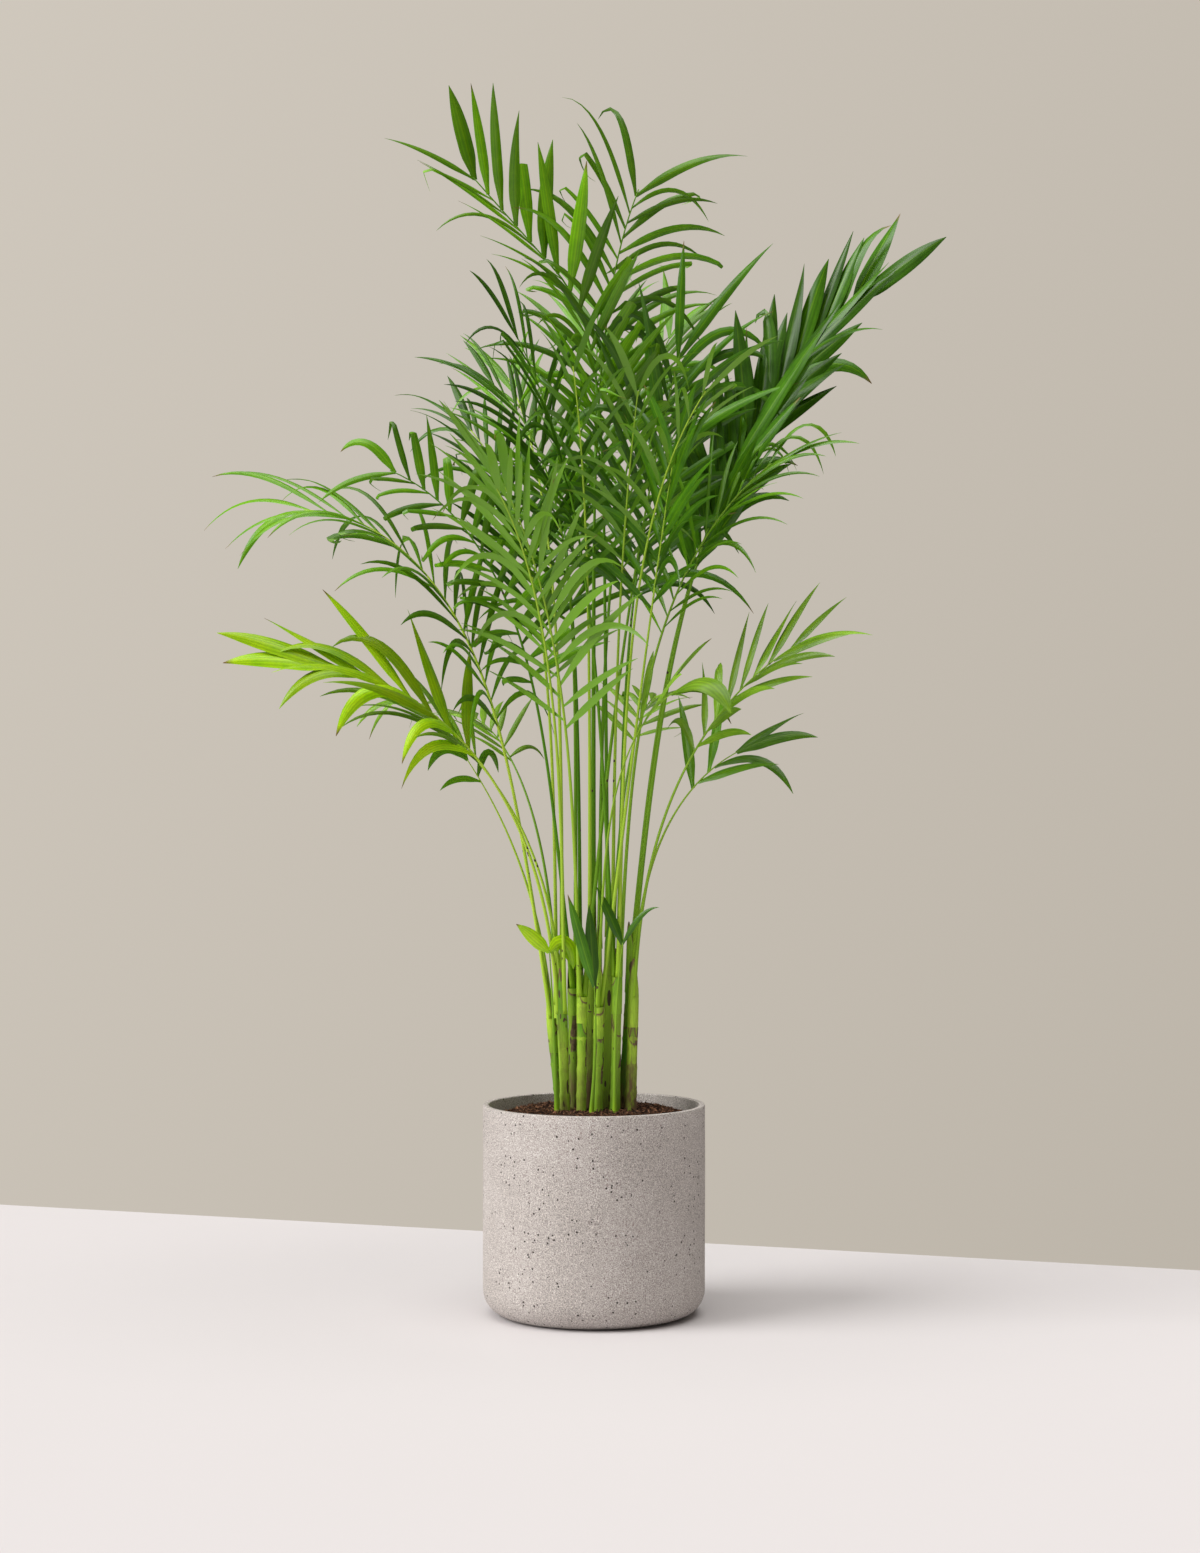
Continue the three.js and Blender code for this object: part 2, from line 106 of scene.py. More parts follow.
def put(tree, kind, values=None, **settings):
    # adds a node; a value is a plain one or the output that feeds the input
    node = tree.nodes.new("ShaderNode" + kind)
    for key, value in settings.items():
        setattr(node, key, value)
    for key, value in (values or {}).items():
        if isinstance(value, bpy.types.NodeSocket):
            tree.links.new(value, node.inputs[key])
        else:
            node.inputs[key].default_value = value
    return node


def colour4(colour):
    return (*colour, 1.0)


def addMath(tree, operation, *values):
    return put(tree, "Math", dict(enumerate(values)), operation=operation).outputs[0]


def addMix(tree, a, b, factor, blend="MIX"):
    values = {"A": a, "B": b, "Factor": factor}
    values.update((key, colour4(value)) for key, value in values.items() if isinstance(value, tuple))
    return put(tree, "Mix", values, data_type="RGBA", blend_type=blend).outputs["Result"]


def addRange(tree, value, low=0.0, high=1.0, toLow=0.0, toHigh=1.0):
    ends = {"From Min": low, "From Max": high, "To Min": toLow, "To Max": toHigh}
    return put(tree, "MapRange", {"Value": value, **ends}).outputs["Result"]


def addNoise(tree, vector, scale, detail, roughness=0.5):
    grain = {"Scale": scale, "Detail": detail, "Roughness": roughness}
    return put(tree, "TexNoise", {"Vector": vector, **grain}).outputs["Fac"]


def limited(tree, value):
    return put(tree, "Clamp", {"Value": value}).outputs[0]


def mapParts(tree):
    # how far round (X) and how far along (Y) the piece, from its own UV map
    uv = put(tree, "UVMap")
    return put(tree, "SeparateXYZ", {"Vector": uv.outputs["UV"]}).outputs


def readTone(tree, name):
    return put(tree, "Attribute", attribute_name=name).outputs["Fac"]


def addBackdrop():
    world = bpy.data.worlds.new("studio")
    bpy.context.scene.world = world
    world.use_nodes = True
    tree = world.node_tree
    tree.nodes.clear()
    looking = put(tree, "TexCoord").outputs["Generated"]
    parts = put(tree, "SeparateXYZ", {"Vector": looking}).outputs
    # painted light on the wall the camera sees: lighter at the upper left, darker at the lower right
    slope = addMath(tree, "MULTIPLY_ADD", parts["Z"], backdropSet["fall"], parts["X"])
    across = addRange(tree, slope, backdropSet["from"], backdropSet["to"])
    tone = addMix(tree, backdropSet["left"], backdropSet["right"], across)
    seen = put(tree, "Background", {"Color": tone})
    room = put(tree, "Background", {"Color": colour4(backdropSet["roomColour"]),
                                    "Strength": backdropSet["roomLight"]})
    rays = put(tree, "LightPath").outputs["Is Camera Ray"]
    choice = put(tree, "MixShader", {0: rays, 1: room.outputs[0], 2: seen.outputs[0]})
    put(tree, "OutputWorld", {"Surface": choice.outputs[0]})


def newGroup(name, inputs, output):
    # an input without a start value is a vector
    tree = bpy.data.node_groups.new(name, "ShaderNodeTree")
    for label, value in inputs.items():
        kind = "NodeSocketVector" if value is None else "NodeSocketFloat"
        socket = tree.interface.new_socket(label, in_out="INPUT", socket_type=kind)
        if value is not None:
            socket.default_value = value
    tree.interface.new_socket(output, in_out="OUTPUT", socket_type="NodeSocketFloat")
    return tree, tree.nodes.new("NodeGroupInput").outputs, tree.nodes.new("NodeGroupOutput")


def buildCloudGroup():
    # soft blotches at two sizes, from 0 to 1
    finer, share, middle = 6.3, 0.35, 0.675
    tree, given, end = newGroup("clouding", {"Vector": None, "Scale": 20.0, "Contrast": 2.0}, "Value")
    broad = addNoise(tree, given["Vector"], given["Scale"], 4.0, 0.6)
    fine = addNoise(tree, given["Vector"], addMath(tree, "MULTIPLY", given["Scale"], finer), 3.0, 0.7)
    both = addMath(tree, "MULTIPLY_ADD", fine, share, broad)
    centred = addMath(tree, "SUBTRACT", both, middle)
    stretched = addMath(tree, "MULTIPLY_ADD", centred, given["Contrast"], 0.5)
    tree.links.new(limited(tree, stretched), end.inputs[0])
    return tree


def buildFleckGroup():
    # small specks, gathered in patches: 1 inside a speck
    tree, given, end = newGroup("flecks", {"Vector": None, "Scale": 100.0, "Size": 0.25,
                                           "Patch Scale": 12.0, "Patch Cut": 0.5}, "Mask")
    leftOut = 0.45  # this share of the cells stays empty
    cells = put(tree, "TexVoronoi", {"Vector": given["Vector"], "Scale": given["Scale"]}).outputs
    patches = addNoise(tree, given["Vector"], given["Patch Scale"], 2.0)
    near = addMath(tree, "LESS_THAN", cells["Distance"], given["Size"])
    inPatch = addMath(tree, "GREATER_THAN", patches, given["Patch Cut"])
    own = put(tree, "SeparateColor", {"Color": cells["Color"]}).outputs["Red"]
    mask = addMath(tree, "MULTIPLY", near, inPatch)
    kept = addMath(tree, "MULTIPLY", mask, addMath(tree, "GREATER_THAN", own, leftOut))
    tree.links.new(kept, end.inputs[0])
    return tree


def buildStreakGroup():
    # fine lines that run along a stalk or a cane, from its UV map
    tree, given, end = newGroup("streaks", {"Around": 40.0, "Along": 3.0}, "Value")
    parts = mapParts(tree)
    drawn = {"X": addMath(tree, "MULTIPLY", parts["X"], given["Around"]),
             "Y": addMath(tree, "MULTIPLY", parts["Y"], given["Along"])}
    joined = put(tree, "CombineXYZ", drawn).outputs[0]
    tree.links.new(addNoise(tree, joined, 1.0, 3.0, 0.6), end.inputs[0])
    return tree


cloudGroup, fleckGroup, streakGroup = buildCloudGroup(), buildFleckGroup(), buildStreakGroup()


# In the finishes below clouds are scale and contrast, flecks are scale, size, and the scale and the cut
# of their patches, streaks are how many go round and along, and a bump is its strength and its depth
def addGroup(tree, group, labels, values):
    return put(tree, "Group", dict(zip(labels, values)), node_tree=group).outputs[0]


def addClouds(tree, place, finish):
    return addGroup(tree, cloudGroup, ("Vector", "Scale", "Contrast"), (place, *finish["clouds"]))


def addFlecks(tree, place, values):
    labels = ("Vector", "Scale", "Size", "Patch Scale", "Patch Cut")
    return addGroup(tree, fleckGroup, labels, (place, *values))


def addStreaks(tree, finish, body):
    # returns the body with its streaks, and the streaks for its bump
    streaks = addGroup(tree, streakGroup, ("Around", "Along"), finish["streaks"])
    return addMix(tree, body, streaks, finish["streakShade"], "OVERLAY"), streaks


def startMaterial(name, settings):
    material = bpy.data.materials.new(name)
    material.use_nodes = True
    tree = material.node_tree
    tree.nodes.clear()
    skin = put(tree, "BsdfPrincipled", {"Roughness": settings["roughness"],
                                        "Specular IOR Level": settings["specular"]})
    return material, tree, put(tree, "TexCoord").outputs["Object"], skin


def coat(tree, skin, colour, height=None, bump=None, surface=None):
    tree.links.new(colour, skin.inputs["Base Color"])
    put(tree, "OutputMaterial", {"Surface": surface or skin.outputs["BSDF"]})
    if bump:
        strength, depth = bump
        relief = put(tree, "Bump", {"Strength": strength, "Distance": depth, "Height": height})
        tree.links.new(relief.outputs["Normal"], skin.inputs["Normal"])


# Leaf greens: the face, its shaded blotches, the light that comes through, the underside
leafTints = {
    "dark": {"face": (0.082, 0.255, 0.004), "deep": (0.038, 0.138, 0.002), "through": (0.28, 0.54, 0.01),
             "under": (0.105, 0.270, 0.012), "slot": "leaf_dark"},
    "mid": {"face": (0.182, 0.450, 0.008), "deep": (0.090, 0.280, 0.004), "through": (0.40, 0.68, 0.01),
            "under": (0.190, 0.420, 0.025), "slot": "leaf_mid"},
    # sunlit is the mid green painted brighter, painted light for the frond that stands in the most light
    "sunlit": {"face": (0.230, 0.540, 0.004), "deep": (0.120, 0.355, 0.002), "through": (0.42, 0.70, 0.01),
               "under": (0.220, 0.460, 0.025), "slot": "leaf_mid"},
    "fresh": {"face": (0.305, 0.565, 0.028), "deep": (0.178, 0.390, 0.015), "through": (0.46, 0.68, 0.03),
              "under": (0.270, 0.500, 0.045), "slot": "leaf_fresh"},
    "lime": {"face": (0.490, 0.760, 0.005), "deep": (0.270, 0.575, 0.005), "through": (0.60, 0.76, 0.01),
             "under": (0.360, 0.560, 0.030), "slot": "leaf_lime"},
}

leafFinish = {
    "roughness": 0.31, "specular": 0.42, "through": 0.16, "clouds": (22.0, 2.4), "tones": (0.62, 1.46),
    "ribCount": 5, "ribShade": 0.26, "ribBump": (0.12, 0.00010), "midribWide": 0.06, "midribPale": 0.35,
    "tipFrom": 0.90, "tipFull": 0.98, "tipsDried": 0.80, "tipBrown": (0.22, 0.13, 0.035),
}


def leafMaterial(name, tint):
    material, tree, place, skin = startMaterial(name, leafFinish)
    parts = mapParts(tree)
    tone = readTone(tree, "leafTone")
    face = addMix(tree, tint["deep"], tint["face"], addClouds(tree, place, leafFinish))
    # ribs run along the blade, and the midrib is the palest of them
    turns = addMath(tree, "MULTIPLY", parts["X"], leafFinish["ribCount"] * 2 * pi)
    ribs = addMath(tree, "MULTIPLY_ADD", addMath(tree, "SINE", turns), 0.5, 0.5)
    ribbed = addMix(tree, face, ribs, leafFinish["ribShade"], "MULTIPLY")
    offMiddle = addMath(tree, "ABSOLUTE", addMath(tree, "SUBTRACT", parts["X"], 0.5))
    onMidrib = addRange(tree, offMiddle, 0.0, leafFinish["midribWide"], leafFinish["midribPale"], 0.0)
    midrib = addMix(tree, ribbed, tint["through"], onMidrib)
    # each leaflet has its own strength of colour
    strength = addRange(tree, tone, 0.0, 1.0, *leafFinish["tones"])
    toned = put(tree, "HueSaturation", {"Value": strength, "Color": midrib}).outputs["Color"]
    # the underside is paler
    under = addMix(tree, toned, tint["under"], addMath(tree, "GREATER_THAN", parts["X"], 1.0))
    # a few tips have dried
    nearTip = addRange(tree, parts["Y"], leafFinish["tipFrom"], leafFinish["tipFull"])
    dryTip = addMath(tree, "MULTIPLY", nearTip, addMath(tree, "GREATER_THAN", tone, leafFinish["tipsDried"]))
    colour = addMix(tree, under, leafFinish["tipBrown"], dryTip)
    glow = put(tree, "BsdfTranslucent", {"Color": colour4(tint["through"])})
    ends = {0: leafFinish["through"], 1: skin.outputs[0], 2: glow.outputs[0]}
    surface = put(tree, "MixShader", ends).outputs[0]
    coat(tree, skin, colour, ribs, leafFinish["ribBump"], surface)
    return material


stalkFinish = {
    "foot": (0.310, 0.540, 0.016), "green": (0.095, 0.280, 0.006), "yellow": (0.500, 0.720, 0.060),
    "scar": (0.070, 0.050, 0.022), "roughness": 0.42, "specular": 0.25, "footTo": 0.16, "footShare": 0.75,
    "streaks": (9.0, 5.0), "streakShade": 0.35, "flecks": (160.0, 0.28, 14.0, 0.62), "bump": (0.4, 0.0002),
}


def stalkMaterial():
    finish = stalkFinish
    material, tree, place, skin = startMaterial("stalkSkin", finish)
    body = addMix(tree, finish["green"], finish["yellow"], readTone(tree, "leafTone"))
    nearFoot = addRange(tree, mapParts(tree)["Y"], 0.0, finish["footTo"], finish["footShare"], 0.0)
    footed = addMix(tree, body, finish["foot"], nearFoot)
    lined, streaks = addStreaks(tree, finish, footed)
    scarred = addMix(tree, lined, finish["scar"], addFlecks(tree, place, finish["flecks"]))
    coat(tree, skin, scarred, streaks, finish["bump"])
    return material


caneFinish = {
    "green": (0.062, 0.255, 0.006), "pale": (0.520, 0.760, 0.060), "olive": (0.225, 0.285, 0.040),
    "scar": (0.085, 0.060, 0.028), "worn": (0.175, 0.120, 0.052), "roughness": 0.45, "specular": 0.25,
    "drawnUp": 0.28, "clouds": (90.0, 2.6), "oliveFrom": 0.45, "oliveShare": 0.7,
    "wear": (1.9, -0.4), "wearSpots": (2.0, 0.3),  # each a slope and where it starts
    "streaks": (26.0, 4.0), "streakShade": 0.45, "bump": (0.5, 0.0003),
    "flecks": (260.0, 0.34, 38.0, 0.60), "blotches": (110.0, 0.31, 24.0, 0.58),
}


def caneMaterial(name):
    finish = caneFinish
    material, tree, place, skin = startMaterial(name, finish)
    tall = put(tree, "Mapping", {"Vector": place, "Scale": (1.0, 1.0, finish["drawnUp"])}).outputs[0]
    body = addMix(tree, finish["green"], finish["pale"], readTone(tree, "leafTone"))
    clouds = addClouds(tree, tall, finish)
    olive = addRange(tree, clouds, finish["oliveFrom"], 1.0, 0.0, finish["oliveShare"])
    mottled = addMix(tree, body, finish["olive"], olive)
    # old canes have dried near the soil, and sheaths along their lips
    weathered = addMath(tree, "MULTIPLY_ADD", readTone(tree, "caneAge"), *finish["wear"])
    spots = addMath(tree, "MULTIPLY_ADD", clouds, *finish["wearSpots"])
    aged = addMix(tree, mottled, finish["worn"], limited(tree, addMath(tree, "MULTIPLY", weathered, spots)))
    lined, streaks = addStreaks(tree, finish, aged)
    flecks, blotches = (addFlecks(tree, tall, finish[label]) for label in ("flecks", "blotches"))
    marks = addMath(tree, "MAXIMUM", flecks, blotches)
    coat(tree, skin, addMix(tree, lined, finish["scar"], marks), streaks, finish["bump"])
    return material


dryFinish = {
    "light": (0.230, 0.160, 0.085), "dark": (0.070, 0.042, 0.024), "roughness": 0.8, "specular": 0.25,
    "clouds": (120.0, 3.0), "streaks": (30.0, 2.0), "streakShade": 0.7, "bump": (0.8, 0.0005),
}


def dryMaterial():
    finish = dryFinish
    material, tree, place, skin = startMaterial("drySheath", finish)
    body = addMix(tree, finish["dark"], finish["light"], addClouds(tree, place, finish))
    lined, streaks = addStreaks(tree, finish, body)
    coat(tree, skin, lined, streaks, finish["bump"])
    return material


# the darkest colour below is painted shade for the inside of the pinholes
potFinish = {
    "light": (0.582, 0.538, 0.511), "shade": (0.457, 0.418, 0.390), "grain": (0.250, 0.225, 0.205),
    "pitShade": (0.055, 0.045, 0.038), "roughness": 0.82, "specular": 0.35, "clouds": (9.0, 1.6),
    "sand": (1150.0, 1.5, 0.6), "sandRange": (0.36, 0.64), "sandShade": 0.58,
    "dots": (420.0, 0.30, 60.0, 0.50), "dotShade": 0.6,
    "holes": (180.0, 0.22, 30.0, 0.53), "holeDepth": 2.5, "bump": (0.45, 0.0004),
}


def potMaterial():
    finish = potFinish
    material, tree, place, skin = startMaterial("stoneware", finish)
    body = addMix(tree, finish["shade"], finish["light"], addClouds(tree, place, finish))
    sandy = addRange(tree, addNoise(tree, place, *finish["sand"]), *finish["sandRange"])
    grained = addMix(tree, body, sandy, finish["sandShade"], "OVERLAY")
    dots = addMath(tree, "MULTIPLY", addFlecks(tree, place, finish["dots"]), finish["dotShade"])
    dotted = addMix(tree, grained, finish["grain"], dots)
    # the pinholes are dented only by the bump, and their near-black colour is painted shade inside them
    holes = addFlecks(tree, place, finish["holes"])
    relief = addMath(tree, "MULTIPLY_ADD", holes, -finish["holeDepth"], sandy)
    coat(tree, skin, addMix(tree, dotted, finish["pitShade"], holes), relief, finish["bump"])
    return material


soilFinish = {
    "dark": (0.020, 0.011, 0.007), "brown": (0.085, 0.040, 0.022), "roughness": 0.95, "specular": 0.15,
    "clouds": (180.0, 2.6), "bump": (1.0, 0.0015),
}

chipFinish = {
    "warm": (0.340, 0.165, 0.090), "mostlyBrown": 0.62, "roughness": 0.85, "specular": 0.2,
    "clouds": (500.0, 2.0), "cloudShade": 0.5, "bump": (0.6, 0.0004),
}


def soilMaterial():
    material, tree, place, skin = startMaterial("pottingMix", soilFinish)
    clouds = addClouds(tree, place, soilFinish)
    body = addMix(tree, soilFinish["dark"], soilFinish["brown"], clouds)
    coat(tree, skin, body, clouds, soilFinish["bump"])
    return material


def chipMaterial():
    material, tree, place, skin = startMaterial("barkChips", chipFinish)
    ramp = put(tree, "ValToRGB", {"Fac": readTone(tree, "leafTone")})
    stops = ramp.color_ramp.elements
    stops[0].color = colour4(soilFinish["dark"])
    stops[1].color = colour4(chipFinish["warm"])
    stops.new(chipFinish["mostlyBrown"]).color = colour4(soilFinish["brown"])
    clouds = addClouds(tree, place, chipFinish)
    mottled = addMix(tree, ramp.outputs["Color"], clouds, chipFinish["cloudShade"], "OVERLAY")
    coat(tree, skin, mottled, clouds, chipFinish["bump"])
    return material


floorFinish = {"colour": (0.690, 0.664, 0.672), "darker": 0.985, "roughness": 0.75, "specular": 0.2,
               "clouds": (1.5, 1.0)}


def floorMaterial():
    material, tree, place, skin = startMaterial("paleFloor", floorFinish)
    darker = tuple(floorFinish["darker"] * part for part in floorFinish["colour"])
    clouds = addClouds(tree, place, floorFinish)
    coat(tree, skin, addMix(tree, darker, floorFinish["colour"], clouds))
    return material


def deselectAll():
    if bpy.context.object and bpy.context.object.mode != "OBJECT":
        bpy.ops.object.mode_set(mode="OBJECT")
    bpy.ops.object.select_all(action="DESELECT")


def choose(*pieces):
    deselectAll()
    for piece in pieces:
        piece.select_set(True)
    bpy.context.view_layer.objects.active = pieces[0]


def openForEditing(piece):
    choose(piece)
    bpy.ops.object.mode_set(mode="EDIT")


def startPiece(add, name, **shape):
    # a new mesh in its place, open for editing
    deselectAll()
    add(**shape)
    piece = bpy.context.object
    piece.name = name
    bpy.ops.object.transform_apply(location=True)
    openForEditing(piece)
    return piece


def selectAll():
    bpy.ops.mesh.select_all(action="SELECT")


def extrudeUp(rise):
    bpy.ops.mesh.extrude_region_move(TRANSFORM_OT_translate={"value": (0, 0, rise)})


def cutLevel(level):
    selectAll()
    bpy.ops.mesh.bisect(plane_co=(0, 0, level), plane_no=(0, 0, 1))


def smooth(angle):
    bpy.ops.object.shade_smooth_by_angle(angle=radians(angle))


def limit(share):
    return min(1.0, max(0.0, share))


def between(ends, share):
    return ends[0] + (ends[1] - ends[0]) * share


def pick(piece, kind, test):
    # selects the faces or edges whose own test says yes
    bpy.ops.mesh.select_mode(type=kind)
    bpy.ops.mesh.select_all(action="DESELECT")
    mesh = bmesh.from_edit_mesh(piece.data)
    for part in mesh.faces if kind == "FACE" else mesh.edges:
        part.select_set(test(part))
    mesh.select_flush_mode()
    bmesh.update_edit_mesh(piece.data)


def roundOff(piece, test, size, steps):
    pick(piece, "EDGE", test)
    bpy.ops.mesh.bevel(offset=size, segments=steps, affect="EDGES")


def dress(piece, material, slot, nodes):
    piece.data.materials.clear()
    piece.data.materials.append(material)
    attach(piece, "root")
    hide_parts(*nodes)


def radiusOf(point):
    return hypot(point.x, point.y)


hair = 0.1 * mm  # points closer than this lie in the same place


def liesAt(edge, level):
    return all(abs(vertex.co.z - level) < hair for vertex in edge.verts)


def runsRound(edge):
    return abs(radiusOf(edge.verts[0].co) - radiusOf(edge.verts[1].co)) < hair


def offFrom(x, y, reach, angle, height):
    # the point at that height, reach away from x and y
    return x + reach * cos(angle), y + reach * sin(angle), height


potSet = {
    "sides": 160, "wall": 0.007, "floor": 0.014, "heel": 0.030, "heelSteps": 9,
    "lip": 0.0014, "lipSteps": 3, "innerBend": 0.010, "innerSteps": 4,
    "courses": 14, "rimGap": 0.006, "wobble": 0.00035, "wobbleScale": 9.0,
}


def buildPot(material):
    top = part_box("pot")[1]
    radius, height = top.x, top.z
    wall, floor, heel, courses = potSet["wall"], potSet["floor"], potSet["heel"], potSet["courses"]
    inside = radius - wall - hair
    pot = startPiece(bpy.ops.mesh.primitive_cylinder_add, "stonewarePot", vertices=potSet["sides"],
                     radius=radius, depth=height, location=(0, 0, height / 2))
    pick(pot, "FACE", lambda face: face.normal.z > 0.9)
    bpy.ops.mesh.inset(thickness=wall)
    extrudeUp(floor - height)
    roundOff(pot, lambda edge: liesAt(edge, 0), heel, potSet["heelSteps"])
    roundOff(pot, lambda edge: liesAt(edge, height) and runsRound(edge), potSet["lip"], potSet["lipSteps"])
    roundOff(pot, lambda edge: liesAt(edge, floor) and all(
        radiusOf(vertex.co) > inside for vertex in edge.verts), potSet["innerBend"], potSet["innerSteps"])
    for course in range(1, courses):
        cutLevel(heel + (height - heel - potSet["rimGap"]) * course / courses)
    choose(pot)
    smooth(30)
    for vertex in pot.data.vertices:
        if vertex.co.z > heel / 2:
            swell = noise.noise(vertex.co * potSet["wobbleScale"]) * potSet["wobble"]
            vertex.co.x *= 1 + swell / radius
            vertex.co.y *= 1 + swell / radius
    dress(pot, material, "pot", ["pot"])
    print("pot modelled")


soilSet = {
    "sides": 120, "rings": 15, "edgeDrop": 0.019, "crownDrop": 0.006, "level": 0.074, "wallAt": 0.1227,
    "bow": 0.6, "lump": 0.0016, "lumpScale": 90.0, "grit": 0.5, "gritScale": 230.0, "evenEdge": 0.004,
}


def soilHeight(distance, rim):
    # the ground falls from the level middle to the wall
    edge = rim - soilSet["edgeDrop"]
    crown = rim - soilSet["crownDrop"]
    share = limit((distance - soilSet["level"]) / (soilSet["wallAt"] - soilSet["level"]))
    return crown - (crown - edge) * share * share * (1 + soilSet["bow"] * (1 - share))


def buildSoil(material):
    low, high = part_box("soil")
    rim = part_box("pot")[1].z
    radius, bend = high.x, potSet["innerBend"]
    soil = startPiece(bpy.ops.mesh.primitive_circle_add, "soilBed", vertices=soilSet["sides"],
                      radius=radius - bend, fill_type="NGON", location=(0, 0, low.z))
    growth = radius / (radius - bend)
    selectAll()
    extrudeUp(bend)
    bpy.ops.transform.resize(value=(growth, growth, 1))
    extrudeUp(rim - soilSet["edgeDrop"] - low.z - bend)
    step = radius / (soilSet["rings"] + 1)
    for ring in range(soilSet["rings"]):
        bpy.ops.mesh.inset(thickness=step)
    bpy.ops.mesh.poke()
    selectAll()
    bpy.ops.mesh.normals_make_consistent(inside=False)
    choose(soil)
    for vertex in soil.data.vertices:
        distance = radiusOf(vertex.co)
        if vertex.co.z > rim - soilSet["edgeDrop"] - hair:
            fade = min(1.0, (radius - distance) / soilSet["evenEdge"])
            lump = noise.noise(vertex.co * soilSet["lumpScale"])
            lump += soilSet["grit"] * noise.noise(vertex.co * soilSet["gritScale"])
            vertex.co.z = soilHeight(distance, rim) + lump * soilSet["lump"] * fade
    smooth(60)
    dress(soil, material, "soil", ["soil"])
    print("soil modelled")


def makeDice(seed):
    # the same small number maker as the source has, so that the plant grows the same way
    state = [seed * 7919 % 2147483647 + 1]

    def roll():
        state[0] = state[0] * 16807 % 2147483647
        return state[0] / 2147483647

    for warmUp in range(3):
        roll()
    return roll, lambda amount: (roll() * 2 - 1) * amount


def meshFromArrays(name, points, faces, uvs, tones):
    mesh = bpy.data.meshes.new(name)
    mesh.from_pydata([tuple(point) for point in points], [], faces)
    if uvs is not None:
        layer = mesh.uv_layers.new(name="UVMap")
        layer.data.foreach_set("uv", np.asarray(uvs, dtype=np.float32).ravel())
    attribute = mesh.attributes.new("leafTone", "FLOAT", "POINT")
    attribute.data.foreach_set("value", np.asarray(tones, dtype=np.float32))
    mesh.polygons.foreach_set("use_smooth", [True] * len(mesh.polygons))
    mesh.validate()
    return addObject(name, mesh)


chipSet = {
    "seed": 77, "count": 3600, "long": (3.0, 10.0), "wide": (0.9, 2.2), "thick": (0.6, 1.5),
    "mostlySmall": 1.6, "rough": 0.25, "pitch": 0.75, "bank": 0.6, "lift": (0.0004, 0.0016), "offWall": 0.003,
}


def turning(angle, first, second):
    # turns rows of points in the plane of two axes
    matrix = np.eye(3)
    matrix[first, first] = matrix[second, second] = cos(angle)
    matrix[first, second], matrix[second, first] = sin(angle), -sin(angle)
    return matrix


def buildChips(material):
    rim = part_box("pot")[1].z
    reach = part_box("soil")[1].x - chipSet["offWall"]
    roll, spread = makeDice(chipSet["seed"])
    deselectAll()
    bpy.ops.mesh.primitive_ico_sphere_add(subdivisions=1, radius=0.5)
    crumb = bpy.context.object
    shape = np.array([vertex.co for vertex in crumb.data.vertices])
    triangles = np.array([list(face.vertices) for face in crumb.data.polygons])
    bpy.data.objects.remove(crumb, do_unlink=True)
    points, faces, tones = [], [], []
    for index in range(chipSet["count"]):
        distance = reach * sqrt(roll())
        angle = 2 * pi * roll()
        sizes = np.array([between(chipSet[way], roll() ** chipSet["mostlySmall"])
                          for way in ("long", "wide", "thick")])
        dents = np.array([spread(chipSet["rough"]) for corner in shape])
        body = shape * (1 + dents[:, None]) * sizes * mm
        turn, pitch, bank = 2 * pi * roll(), spread(chipSet["pitch"]), spread(chipSet["bank"])
        turned = body @ turning(bank, 1, 2) @ turning(pitch, 0, 2) @ turning(turn, 0, 1)
        ground = soilHeight(distance, rim) + between(chipSet["lift"], roll())
        faces.extend((triangles + len(points) * len(shape)).tolist())
        points.append(turned + np.array(offFrom(0, 0, distance, angle, ground)))
        tones.extend([roll()] * len(shape))
    chips = meshFromArrays("barkChips", np.concatenate(points), faces, None, tones)
    chips.data.polygons.foreach_set("use_smooth", [False] * len(chips.data.polygons))
    dress(chips, material, "soil", ["soil"])
    print("bark chips laid:", chipSet["count"])


def cane(*row):
    return dict(zip(("x", "y", "top", "footX", "footY", "girth"), row))


# Each cane: where its top stands in plan and how high, where its foot stands, and how stout it is there
canes = {
    "frontA": cane(-37, -20, 352, -33, -17, 0.9),
    "frontB": cane(-14, -24, 372, -15, -21, 0.84),
    "frontC": cane(6, -24, 360, 3, -20, 1.06),
    "frontD": cane(27, -22, 395, 24, -19, 0.86),
    "frontE": cane(46, -13, 370, 42, -11, 1.08),
    "middleA": cane(-50, 1, 345, -38, 1, 0.8),
    "middleB": cane(-25, 1, 380, -23, 2, 1.04),
    "middleC": cane(-3, 0, 430, -6, 0, 0.9),
    "middleD": cane(19, 1, 440, 12, 1, 1.08),
    "middleE": cane(44, 10, 410, 33, 9, 0.94),
    "backA": cane(-42, 22, 360, -32, 17, 0.95),
    "backB": cane(-19, 25, 400, -14, 19, 0.9),
    "backC": cane(3, 25, 425, 3, 19, 1.0),
    "backD": cane(25, 24, 385, 22, 21, 0.9),
}

caneSet = {
    "seed": 200, "radius": 5.1, "flare": 1.6, "flareReach": 9.0, "collar": 0.9, "collarFrom": 0.7,
    "bend": 0.8, "sides": 18, "rings": 44, "sink": 5.0, "seat": 0.3, "ageReach": 75.0, "ageBias": 0.6,
    "firstJoint": (14, 34), "lastJoint": 8, "internode": (24, 40), "ringSwell": 0.55, "ringReach": 2.2,
    "shoulder": 0.35, "shoulderReach": 9, "above": 0.3, "flutes": 5, "flute": 0.16, "fluteAtFoot": 0.4,
    "rough": 0.25, "roughScale": 3, "roughLength": 9, "apart": 7,
}


